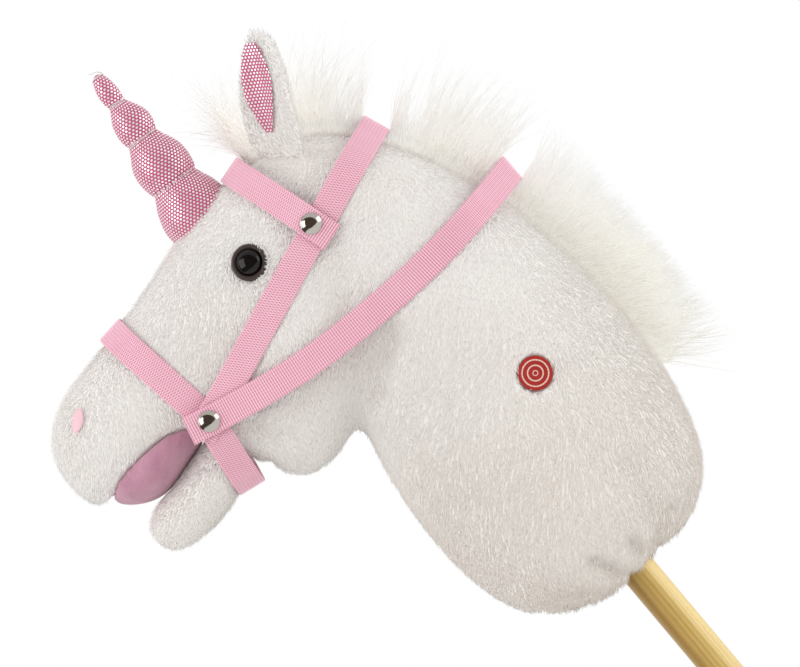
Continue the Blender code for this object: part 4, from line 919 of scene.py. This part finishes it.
class Run:
    """Course of a flat strap seen from the side, by the distance from its rivet."""

    def center(self, reach, side):
        return self.start + reach[:, None] * self.ahead(reach) + side[:, None] * ACROSS


def above(ahead):
    """Directions across a strap, square to those along it."""
    return np.stack([-ahead[:, 2], np.zeros(len(ahead)), ahead[:, 0]], axis=1)


class StraightRun(Run):
    """Straight line from its rivet."""

    def __init__(self, start, towards):
        self.start = np.array(start)
        self.along = np.array((towards - start).normalized())
        self.across = np.array([-self.along[2], 0.0, self.along[0]])

    def flat(self, places):
        off = places - self.start
        return np.stack([off @ self.along, off[:, 1], off @ self.across], axis=1)

    def ahead(self, reach):
        return np.tile(self.along, (len(reach), 1))


class SaggingRun(Run):
    """Rein, whose angle about the rivet rises with the distance from it."""

    def __init__(self, start):
        self.start = np.array(start)

    def ahead(self, reach):
        turn = -REIN_DROP * (1 - np.clip(reach / REIN_REACH, 0.0, 1.0))
        return np.stack([np.cos(turn), np.zeros(len(turn)), np.sin(turn)], axis=1)

    def flat(self, places):
        off = places - self.start
        reach = np.hypot(off[:, 0], off[:, 2]) * np.sign(off[:, 0] + 2 * MM)
        ahead = self.ahead(reach)
        return np.stack([(off * ahead).sum(axis=1), off[:, 1], (off * above(ahead)).sum(axis=1)], axis=1)


def outer_course(name, run):
    """Outer face of a CAD strap as a line of distance and side, from the left tail to the right one."""
    bm = copy_of(name)
    tree = BVHTree.FromBMesh(bm)
    places = np.array([vert.co[:] for vert in bm.verts])
    bm.free()
    flat = run.flat(places)
    edge = flat[:, 2] > STRAP_HALF - 0.6 * MM
    places, flat = places[edge], flat[edge]
    first = flat[:, 0].min()
    middle = (first + flat[:, 0].max()) / 2
    ahead = run.ahead(flat[:, 0])
    out = flat[:, :2] - np.array([middle, 0.0])
    out /= np.linalg.norm(out, axis=1, keepdims=True)
    ways = out[:, :1] * ahead + out[:, 1:] * ACROSS
    outer = []
    for place, line, way, up in zip(places, flat, ways, above(ahead)):
        if line[0] < first + 0.3 * MM:
            twins = flat[(flat[:, 0] < first + 0.3 * MM) & (flat[:, 1] * line[1] > 0)]
            is_outer = abs(line[1]) > np.abs(twins[:, 1]).mean()
        else:
            start = place - up * 2.5 * MM + way * 0.12 * MM
            is_outer = tree.ray_cast(Vector(start), Vector(way), 8 * MM)[0] is None
        if is_outer:
            outer.append(line[:2])
    outer = np.array(outer)
    outer = outer[np.argsort(np.arctan2(outer[:, 1], outer[:, 0] - middle), kind="stable")]
    far = np.linalg.norm(np.diff(outer, axis=0), axis=1)
    return outer[np.concatenate([[True], far > 0.4 * MM])]


def even_course(corners):
    """The line cut into weave steps and rounded at its corners."""
    far = np.concatenate([[0.0], np.cumsum(np.linalg.norm(np.diff(corners, axis=0), axis=1))])
    count = max(8, round(far[-1] / WEAVE_STEP))
    spots = np.linspace(0.0, far[-1], count + 1)
    line = np.stack([np.interp(spots, far, corners[:, k]) for k in (0, 1)], axis=1)
    half = 5
    front = line[:1] + (line[:1] - line[half:0:-1])
    rear = line[-1:] + (line[-1:] - line[-2:-half - 2:-1])
    padded = np.concatenate([front, line, rear])
    window = np.hanning(2 * half + 3)[1:-1]
    return np.stack([np.convolve(padded[:, k], window / window.sum(), "valid") for k in (0, 1)], axis=1), spots


def woven_strap(name, run, rivets, rib_reach=RIB_REACH, body="root"):
    """Woven tape over a CAD strap's course: floats and ground in relief, ribs at its sewn ends."""
    line, spots = even_course(outer_course(name, run))
    count, wide = len(line) - 1, round(2 * STRAP_HALF / ROW_STEP)
    way = np.gradient(line, axis=0)
    way /= np.linalg.norm(way, axis=1, keepdims=True)
    outward = np.stack([way[:, 1], -way[:, 0]], axis=1)
    line = line - outward * STRAP_THICK / 2
    center = run.center(line[:, 0], line[:, 1])
    ahead = run.ahead(line[:, 0])
    out = outward[:, :1] * ahead + outward[:, 1:] * ACROSS
    across = unit(np.cross(out, np.gradient(center, axis=0)))
    bm = bmesh.new()
    bmesh.ops.create_grid(bm, x_segments=count, y_segments=wide, size=1.0)
    bmesh.ops.translate(bm, vec=(1.0, 1.0, 0.0), verts=bm.verts)
    bmesh.ops.scale(bm, vec=(count / 2, wide / 2, 1.0), verts=bm.verts)
    middles = np.array([face.calc_center_median()[:] for face in bm.faces])
    at, aside = (np.stack([np.interp(middles[:, 0], np.arange(count + 1), line[:, k]) for k in range(3)], axis=1)
                 for line in (center, across))
    at += aside * ((middles[:, 1:2] / wide - 0.5) * 2 * STRAP_HALF)
    holed = np.zeros(len(at), bool)
    for rivet in rivets:
        holed |= np.hypot(at[:, 0] - rivet.x, at[:, 2] - rivet.z) < HOLE_RADIUS
    bm.faces.ensure_lookup_table()
    bmesh.ops.delete(bm, geom=[bm.faces[k] for k in np.flatnonzero(holed)], context="FACES")
    bmesh.ops.solidify(bm, geom=bm.faces[:], thickness=1.0)
    mesh = mesh_from(bm, name + "_weave")
    corners = corners_of(mesh)
    i, j = np.rint(corners[:, 0]).astype(int), np.rint(corners[:, 1]).astype(int)
    height = corners[:, 2]
    face = np.where(height > (height.min() + height.max()) / 2, 1.0, -1.0)
    from_end = np.minimum(spots[i], spots[-1] - spots[i])
    ribbed = np.clip((rib_reach - from_end) / (rib_reach * 0.15), 0.0, 1.0)
    at_edge = np.minimum(j, wide - j)
    checks = (-1.0) ** i * np.cos(math.tau * j * ROW_STEP / WEAVE_ROW)
    relief = STRAP_RELIEF * (checks * (1 - ribbed) + (-1.0) ** i * ribbed) * (at_edge > 0)
    thin = np.where((at_edge == 0) | (from_end < 0.1 * MM), 0.42, np.where(at_edge == 1, 0.9, 1.0))
    depth = face * (STRAP_THICK / 2 - STRAP_RELIEF) * thin + face * relief
    sway = np.array([noise.noise(Vector((spot / (55 * MM), 3.1, len(name)))) for spot in spots]) * STRAP_SWERVE
    share = (j / wide - 0.5) * 2
    places = center[i] + across[i] * (share * (STRAP_HALF - 0.1 * MM) + sway[i])[:, None] + out[i] * depth[:, None]
    set_corners(mesh, places)
    add_map(mesh, "tape", np.stack([i * WEAVE_STEP, j * ROW_STEP], axis=1)[loop_corners(mesh)])
    add_numbers(mesh, "ribs", ribbed)
    mesh.update()
    made = new_piece(name + "_weave", mesh, webbing, "pink_webbing", body)
    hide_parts(name)


woven_strap("noseband", StraightRun(LOWER_RIVET, NOSEBAND_TOP), (LOWER_RIVET,))
woven_strap("chin_strap", StraightRun(LOWER_RIVET, CHIN_LOW), (LOWER_RIVET,))
woven_strap("headstall_strap", StraightRun(LOWER_RIVET, CROWN_TOP), (LOWER_RIVET, UPPER_RIVET))
woven_strap("browband", StraightRun(UPPER_RIVET, BROWBAND_TOP), (UPPER_RIVET,))
woven_strap("reins", SaggingRun(LOWER_RIVET), (LOWER_RIVET,), 600 * MM, "reins")

HORN_PLACE, HORN_LEAN = Vector((-0.0655, 0.0, HEM_HEIGHT + 0.3365)), math.radians(3.5)
HORN_PINCHES = (25.0 * MM, 58.0 * MM, 84.0 * MM)
HORN_THREADS, HORN_DOTS = (14.7 * MM, 10.1 * MM, 5.5 * MM), (54, 41, 28, 15)
THREAD_RADIUS = 0.26 * MM
HORN_FOLDS = ((17, 1.1 * MM), (13, 0.8 * MM), (9, 0.5 * MM))
# Outline of the stuffed horn: height over the forehead and radius, in mm.
HORN_LINE = (
    (-7.0, 21.6), (-1.0, 22.6), (4.0, 22.6), (9.0, 21.8), (14.0, 20.2), (18.5, 18.2), (22.0, 16.2), (24.2, 14.9),
    (25.0, 14.5), (25.8, 14.9), (28.0, 16.3), (32.0, 17.3), (37.0, 17.7), (43.0, 17.0), (48.0, 15.2), (52.5, 12.8),
    (56.0, 10.7), (57.4, 10.0), (58.0, 9.8), (58.8, 10.1), (61.0, 11.3), (65.0, 12.2), (69.5, 12.1), (74.5, 10.6),
    (79.0, 8.2), (82.6, 6.0), (83.6, 5.4), (84.0, 5.2), (84.7, 5.4), (87.0, 6.1), (91.0, 6.5), (96.0, 6.1),
    (101.0, 5.0), (104.4, 3.1), (105.8, 0.0),
)


def chaikin(line, times):
    """Line with its corners cut again and again."""
    line = [np.array(place, float) for place in line]
    for _ in range(times):
        cut = [line[0]]
        for a, b in zip(line, line[1:]):
            cut += [0.75 * a + 0.25 * b, 0.25 * a + 0.75 * b]
        line = cut + [line[-1]]
    return [tuple(place) for place in line]


def in_mm(line):
    return [(first * MM, second * MM) for first, second in line]


def arc(center, radii, low, high, count):
    """Points of radius and height on part of an oval, angles in degrees."""
    turns = np.radians(np.linspace(low, high, count))
    return [(center[0] + radii[0] * math.cos(t), center[1] + radii[1] * math.sin(t)) for t in turns]


def lathed(profile, steps, ring=False):
    """Turned form about Z from pairs of radius and height."""
    bm = bmesh.new()
    verts = [bm.verts.new((radius, 0.0, height)) for radius, height in profile]
    pairs = list(zip(verts, verts[1:])) + ([(verts[-1], verts[0])] if ring else [])
    edges = [bm.edges.new(pair) for pair in pairs]
    bmesh.ops.spin(bm, geom=verts + edges, cent=(0, 0, 0), axis=(0, 0, 1), angle=math.tau, steps=steps, use_merge=True)
    bmesh.ops.remove_doubles(bm, verts=bm.verts, dist=0.002 * MM)
    bmesh.ops.recalc_face_normals(bm, faces=bm.faces)
    return bm


def placed(bm, name, matrix, finish, slot, body="root", sharp=40.0):
    """Piece from a form in its own axes, stood in its place."""
    bm.transform(matrix)
    mesh = mesh_from(bm, name)
    mesh.set_sharp_from_angle(angle=math.radians(sharp))
    return new_piece(name, mesh, finish, slot, body)


def own_axes(places):
    """Middle of some places and their axes, the longest first."""
    middle = places.mean(axis=0)
    return middle, np.linalg.svd(places - middle, full_matrices=False)[2]


def map_across(made, name, places, middle, axes):
    """Map of a nearly flat piece, with its own length as the second number."""
    add_map(made.data, name, ((places - middle) @ axes[:2].T[:, ::-1])[loop_corners(made.data)])


def dress(finish, *names):
    """Better material on CAD nodes that stay."""
    for name in names:
        nodes[name].data.materials.clear()
        nodes[name].data.materials.append(finish)


def stuffed_horn():
    """Foil-dot cone drawn in by thread at three places, with folds that run into each pinch."""
    profile = in_mm((radius, height) for height, radius in chaikin(HORN_LINE, 2))[::-1]
    bm = lathed(profile + [(0.0, HORN_LINE[0][0] * MM)], 120)
    for vert in bm.verts:
        radius, height = vert.co.xy.length, vert.co.z
        if radius < 0.5 * MM:
            continue
        turn = math.atan2(vert.co.y, vert.co.x)
        fold = 0.0
        for k, (pinch, (count, deep)) in enumerate(zip(HORN_PINCHES, HORN_FOLDS)):
            near = math.exp(-(((height - pinch) / (4.6 * MM)) ** 2))
            crease = abs(math.sin(turn * count / 2 + k + 0.7 * math.sin(3 * turn + k)))
            fold += near * (crease - 0.6) * deep
        soft = noise.noise(vert.co / (16 * MM)) * 0.55 * MM + noise.noise(vert.co / (6 * MM)) * 0.18 * MM
        scale = 1 + (fold + soft) / radius
        lean = noise.noise(Vector((0.3, 0.0, height / (24 * MM)))) * 1.2 * MM
        lean *= min(1.0, max(0.0, height / (30 * MM)))
        vert.co.x, vert.co.y = vert.co.x * scale + lean, vert.co.y * scale
    local = np.array([vert.co[:] for vert in bm.verts])
    matrix = Matrix.Translation(HORN_PLACE) @ Matrix.Rotation(HORN_LEAN, 4, "Y")
    made = placed(bm, "horn_cloth", matrix, foil_cloth, "foil_dot_cloth", sharp=75.0)
    index = loop_corners(made.data)
    turn = np.arctan2(local[:, 1], local[:, 0])[index]
    sides = [face.loop_total for face in made.data.polygons]
    first = np.repeat([turn[face.loop_start] for face in made.data.polygons], sides)
    turn = first + (turn - first + math.pi) % math.tau - math.pi
    middle = np.repeat([np.mean(local[list(face.vertices), 2]) for face in made.data.polygons], sides)
    dots_round = np.array(HORN_DOTS)[np.searchsorted(HORN_PINCHES, middle)]
    add_map(made.data, "cloth", np.stack([turn / math.tau * dots_round * DOT_PITCH, local[index, 2] * 1.12], axis=1))
    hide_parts("horn")
    return matrix


def thread_round(name, matrix, height, radius, tilt, turns, end=None):
    """Thread wound round the horn, as one round cord, with a loose end if asked."""
    curve = bpy.data.curves.new(name, "CURVE")
    curve.dimensions = "3D"
    curve.bevel_depth = THREAD_RADIUS
    curve.bevel_resolution = 2
    curve.use_fill_caps = True
    line = curve.splines.new("POLY")
    places = []
    for t in np.linspace(0.0, turns * math.tau, int(turns * 30)):
        wander = 0.35 * MM * math.sin(2.3 * t + height * 900) + (t / math.tau - turns / 2) * 0.42 * MM
        reach = radius + 0.12 * MM * math.sin(5 * t)
        places.append(Vector((reach * math.cos(t), reach * math.sin(t), height + wander + tilt * reach * math.cos(t))))
    if end:
        places += [places[-1].lerp(Vector(end), share) + Vector((0, 0, 0.8 * MM * math.sin(5 * share)))
                   for share in np.linspace(0.1, 1, 12)]
    line.points.add(len(places) - 1)
    line.points.foreach_set("co", [number for place in places for number in (*(matrix @ place), 1.0)])
    bm = bmesh.new()
    bm.from_mesh(modified(name, curve))
    bmesh.ops.remove_doubles(bm, verts=bm.verts, dist=0.005 * MM)
    placed(bm, name, Matrix.Identity(4), pale_thread, "pink_thread", sharp=60.0)


horn_matrix = stuffed_horn()
for k, (pinch, radius) in enumerate(zip(HORN_PINCHES, HORN_THREADS)):
    thread_round(f"horn_thread_{k + 1}", horn_matrix, pinch, radius, 0.05 - 0.04 * k, 3)
thread_round("horn_tip_thread", horn_matrix, 103.6 * MM, 4.0 * MM, 0.1, 1, end=(-3 * MM, -5 * MM, 109 * MM))

# How much the lining narrows towards its low end, and how high the eye's rim stands over its base.
EAR_POINT, RIM_TOP = 0.55, 2.2 * MM
# Outlines from the middle out: radius and height, in mm.
RIVET_LINE = ((0.0, 3.0), (1.6, 2.96), (3.4, 2.62), (4.8, 1.95), (5.7, 1.25), (6.1, 0.86), (6.5, 0.62), (6.5, 0.1),
              (6.1, 0.0))
PATCH_LINE = ((0.0, 0.62), (3.0, 0.62), (3.5, 0.74), (4.0, 0.74), (4.4, 0.6), (6.2, 0.56), (6.7, 0.68), (7.1, 0.68),
              (7.5, 0.54), (8.6, 0.5), (9.0, 0.78), (9.8, 0.84), (10.4, 0.55), (10.5, -0.2), (10.3, -1.0))
for side_name, side in SIDES:
    lining_name = f"ear_lining_{side_name}_cloth"
    lining_mesh = mesh_from(copy_of("ear_lining_" + side_name), lining_name)
    lining = new_piece(lining_name, subdivided(subdivided(lining_mesh, "once"), "twice"), foil_cloth, "foil_dot_cloth")
    places = corners_of(lining.data)
    middle, axes = own_axes(places)
    low = np.clip((middle[2] - places[:, 2]) / (middle[2] - places[:, 2].min()), 0.0, 1.0)
    across = (places - middle) @ axes[1]
    places -= (EAR_POINT * low**1.3 * across)[:, None] * axes[1]
    set_corners(lining.data, places)
    map_across(lining, "cloth", places, middle, axes)
    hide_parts("ear_lining_" + side_name)

    rim_matrix = round_stance("eye_rim_" + side_name, RIM_TOP, side)
    dome = arc((0.0, RIM_TOP), (7.5 * MM, 3.9 * MM), 90, 0, 14)
    dome += in_mm(((7.5, -1.8), (9.8, -1.8), (9.8, -3.0), (2.5, -3.0), (2.5, -13.0), (0.0, -13.0)))
    dome[0] = (0.0, dome[0][1])
    eye = placed(lathed(dome, 56), "eye_dome_gloss_" + side_name, rim_matrix, eye_gloss, "eye_black")
    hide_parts("eye_dome_" + side_name)
    rim = arc((9.55 * MM, 0.2 * MM), (1.75 * MM, 2.1 * MM), 0, 180, 11) + in_mm(((7.8, -1.5), (11.3, -1.5)))
    ring = placed(lathed(rim, 56, ring=True), "eye_rim_soft_" + side_name, rim_matrix, eye_ring, "eye_brown")
    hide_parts("eye_rim_" + side_name)

    nostril_name = "nostril_" + side_name
    bm = copy_of(nostril_name)
    bmesh.ops.subdivide_edges(bm, edges=bm.edges[:], cuts=3, use_grid_fill=True, smooth=0.6)
    stitched = placed(bm, nostril_name + "_satin", Matrix.Identity(4), pink_thread, "pink_thread", sharp=60.0)
    places = corners_of(stitched.data)
    map_across(stitched, "stitch", places, *own_axes(places))
    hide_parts(nostril_name)

    for level, rivet in (("lower", LOWER_RIVET), ("upper", UPPER_RIVET)):
        cap_name = f"rivet_{level}_cap_{side_name}"
        places = cad_corners(cap_name)
        depth = places[:, 1] * side
        far = np.hypot(places[:, 0] - rivet.x, places[:, 2] - rivet.z)
        base = depth[far > 6 * MM].min()
        clench = depth.min() - base
        profile = in_mm(chaikin(RIVET_LINE, 2)) + [(1.9 * MM, 0.0), (1.9 * MM, clench + 0.7 * MM)]
        profile += [(3.0 * MM, clench + 0.7 * MM), (3.0 * MM, clench), (0.0, clench)]
        matrix = stance(Vector((rivet.x, side * base, rivet.z)), (0.0, side, 0.0))
        cap = placed(lathed(profile, 56), cap_name + "_polished", matrix, nickel, "nickel", sharp=50.0)
        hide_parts(cap_name)

profile = in_mm(chaikin(PATCH_LINE, 2)) + [(0.0, -1.0 * MM)]
patch = placed(lathed(profile, 96), "press_patch_stitched", patch_matrix, red_thread, "red_embroidery",
               "sound_button", 70.0)
add_map(patch.data, "stitch", through(patch_matrix.inverted(), corners_of(patch.data))[loop_corners(patch.data), :2])
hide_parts("press_patch")

lining_mesh = subdivided(remeshed(copy_of("mouth_lining"), "palate", 2.4 * MM, 0.0), "palate")
palate = new_piece("mouth_lining_jersey", lining_mesh, jersey, "pink_jersey")
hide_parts("mouth_lining")

cap_turns = [(0.0, 6.0), (11.3, 6.0), (11.3, 36.0), (13.5, 36.0), (14.1, 35.7), (14.3, 35.2)]
for k in range(3):
    groove = 36.0 - 30.0 * (k + 1) / 5
    cap_turns += [(14.3, groove + 1.0), (14.1, groove + 0.7), (13.6, groove), (14.1, groove - 0.7)]
    cap_turns += [(14.3, groove - 1.0)]
cap_turns += [(14.3, 2.2), (14.1, 1.2), (13.4, 0.4), (12.3, 0.0), (0.0, 0.0)]
foot = placed(lathed(in_mm(cap_turns), 64), "stick_foot_cap_rubber", Matrix.Identity(4), rubber, "black_rubber")
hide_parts("stick_foot_cap")
heights = cad_corners("stick_dowel")[:, 2]
low, high = heights.min(), heights.max()
rod_turns = [(0.0, high), (9.0 * MM, high)] + arc((9.0 * MM, high - 2 * MM), (2 * MM, 2 * MM), 75, 0, 5)
rod_turns += [(11 * MM, spot) for spot in np.linspace(high - 12 * MM, low + 0.5 * MM, 40)]
rod_turns += [(10.6 * MM, low), (0.0, low)]
dowel = placed(lathed(rod_turns, 64), "stick_dowel_grained", Matrix.Identity(4), wood, "pale_wood")
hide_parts("stick_dowel")

dress(nylon, "hem_tie", "eye_washer_left", "eye_washer_right")
dress(nickel, *(f"rivet_{level}_back_{name}" for level in ("lower", "upper") for name, _ in SIDES))
dress(case_plastic, "sound_box_front", "sound_box_back", "battery_cover", "push_button")
dress(board_green, "circuit_board")
dress(zinc, "speaker", "button_cell_1", "button_cell_2", "button_cell_3", "cover_screw", "case_screw_1", "case_screw_2")

RIM_OUT, FRINGE_REACH, FRINGE_TRIES = 11.3 * MM, 2.2 * MM, 420


def eye_fringe(side_name, side):
    """Pile that falls over the eye's rim, mostly from behind and below."""
    place = round_stance("eye_rim_" + side_name, RIM_TOP, side)
    turn = scatter.uniform(0.0, math.tau, FRINGE_TRIES)
    outward = np.stack([np.cos(turn), np.sin(turn), np.zeros(FRINGE_TRIES)], axis=1) @ np.array(place.to_3x3()).T
    axis = np.array(place.col[2][:3])
    behind = outward @ np.array([1.0, 0.0, -0.25])
    share = np.clip(0.35 + behind * 0.9, 0.06, 1.0)
    keep = scatter.random(FRINGE_TRIES) < share + 0.2
    outward, share, count = outward[keep], share[keep], int(keep.sum())
    foot = outward * (RIM_OUT + scatter.uniform(0.2, 1.8, (count, 1)) * MM)
    root = np.array(place.translation) + foot - axis * 1.0 * MM
    stray = scatter.normal(size=(count, 3))
    start = unit(axis * 1.0 - outward * 0.15 + 0.16 * stray)
    end = unit(axis * 0.35 - outward * 1.0 + 0.22 * stray + np.array([0.0, 0.0, -0.2]))
    length = (2.6 * MM + FRINGE_REACH * share) * scatter.uniform(0.6, 1.15, count)
    return grown_of(root, start, end, unit(np.cross(outward, axis[None])), length, 0.6 * MM)


for side_name, side in SIDES:
    strands(f"eye_fringe_{side_name}", tuft_shape, eye_fringe(side_name, side), plush_pile, "white_plush")

VIEW_CENTER = Vector((-0.0185, 0.0, 0.7543))
VIEW_RIGHT, VIEW_UP = Vector((0.766, 0.0, -0.643)), Vector((0.643, 0.0, 0.766))
VIEW_WIDE, LENS, SENSOR = 0.483, 350.0, 36.0


def stage_finish():
    """Pale floor that shows white to the camera and in gloss, and still takes the object's shadow."""
    finish = Finish("pale_floor")
    path = finish.add("ShaderNodeLightPath")
    seen = path["Is Camera Ray"].maths("MAXIMUM", path["Is Glossy Ray"]).maths("MAXIMUM", path["Is Transmission Ray"])
    finish.surface(Base_Color=(0.80, 0.80, 0.79), Roughness=0.9)
    glow = finish.add("ShaderNodeEmission", None, {"Color": (1.0, 1.0, 1.0), "Strength": 1.0})
    matt = Wire(finish, finish.shader.outputs[0])
    blended = finish.add("ShaderNodeMixShader", None, {0: seen * 0.94, 1: matt, 2: glow})
    finish.join(finish.output.inputs["Surface"], blended)
    return finish.material


def add_floor():
    bm = bmesh.new()
    bmesh.ops.create_grid(bm, x_segments=2, y_segments=2, size=6.0)
    floor = linked("floor", mesh_from(bm, "floor", smooth=False))
    floor.data.materials.append(stage_finish())


def add_world():
    """White surroundings: full white to the camera, softer as light."""
    world = bpy.data.worlds.new("studio")
    bpy.context.scene.world = world
    world.use_nodes = True
    tree = world.node_tree
    background = tree.nodes["Background"]
    path = tree.nodes.new("ShaderNodeLightPath")
    seen = tree.nodes.new("ShaderNodeMath")
    seen.operation = "MAXIMUM"
    tree.links.new(path.outputs["Is Camera Ray"], seen.inputs[0])
    tree.links.new(path.outputs["Is Transmission Ray"], seen.inputs[1])
    strength = tree.nodes.new("ShaderNodeMapRange")
    strength.inputs["To Min"].default_value = 0.80
    strength.inputs["To Max"].default_value = 1.0
    tree.links.new(seen.outputs[0], strength.inputs["Value"])
    tree.links.new(strength.outputs[0], background.inputs["Strength"])
    background.inputs["Color"].default_value = (1.0, 1.0, 1.0, 1.0)


def add_lamp(name, place, size, power):
    lamp = bpy.data.lights.new(name, "AREA")
    lamp.size, lamp.energy = size, power
    made = linked(name, lamp)
    made.location = place
    made.rotation_euler = (VIEW_CENTER - Vector(place)).to_track_quat("-Z", "Y").to_euler()


def add_card(name, towards, spread, far=3.0):
    """Dark sheet round the camera that only gloss sees: painted dark reflections in rivets and eyes."""
    finish = Finish(name)
    finish.surface(Base_Color=(0.09, 0.065, 0.05), Roughness=0.9)
    bm = bmesh.new()
    towards = Vector(towards).normalized()
    bmesh.ops.create_icosphere(bm, subdivisions=4, radius=far)
    geom = bm.verts[:] + bm.edges[:] + bm.faces[:]
    bmesh.ops.bisect_plane(bm, geom=geom, plane_co=towards * far * math.cos(spread), plane_no=towards, clear_inner=True)
    bmesh.ops.translate(bm, vec=VIEW_CENTER, verts=bm.verts)
    card = linked(name, mesh_from(bm, name, smooth=False))
    card.data.materials.append(finish.material)
    card.visible_camera = card.visible_diffuse = card.visible_shadow = card.visible_transmission = False


def add_camera():
    camera = bpy.data.cameras.new("camera")
    camera.lens, camera.sensor_width = LENS, SENSOR
    camera.clip_end = 50.0
    made = linked("camera", camera)
    far = VIEW_WIDE * LENS / SENSOR
    back = VIEW_RIGHT.cross(VIEW_UP)
    turn = Matrix((VIEW_RIGHT, VIEW_UP, back)).transposed().to_4x4()
    made.matrix_world = Matrix.Translation(VIEW_CENTER + back * far) @ turn
    bpy.context.scene.camera = made


add_floor()
add_world()
add_lamp("key_lamp", (-1.7, -1.1, 2.1), 1.8, 27)
add_lamp("fill_lamp", (1.7, -0.7, 0.6), 1.0, 8)
add_lamp("back_lamp", (0.3, 1.8, 1.9), 1.2, 10)
add_lamp("rim_lamp", (1.7, 0.4, 0.5), 1.2, 6)
add_card("dark_reflection_card", (-0.6, -1.0, -0.15), math.radians(72))
add_camera()
bpy.context.scene.view_settings.view_transform = "Standard"
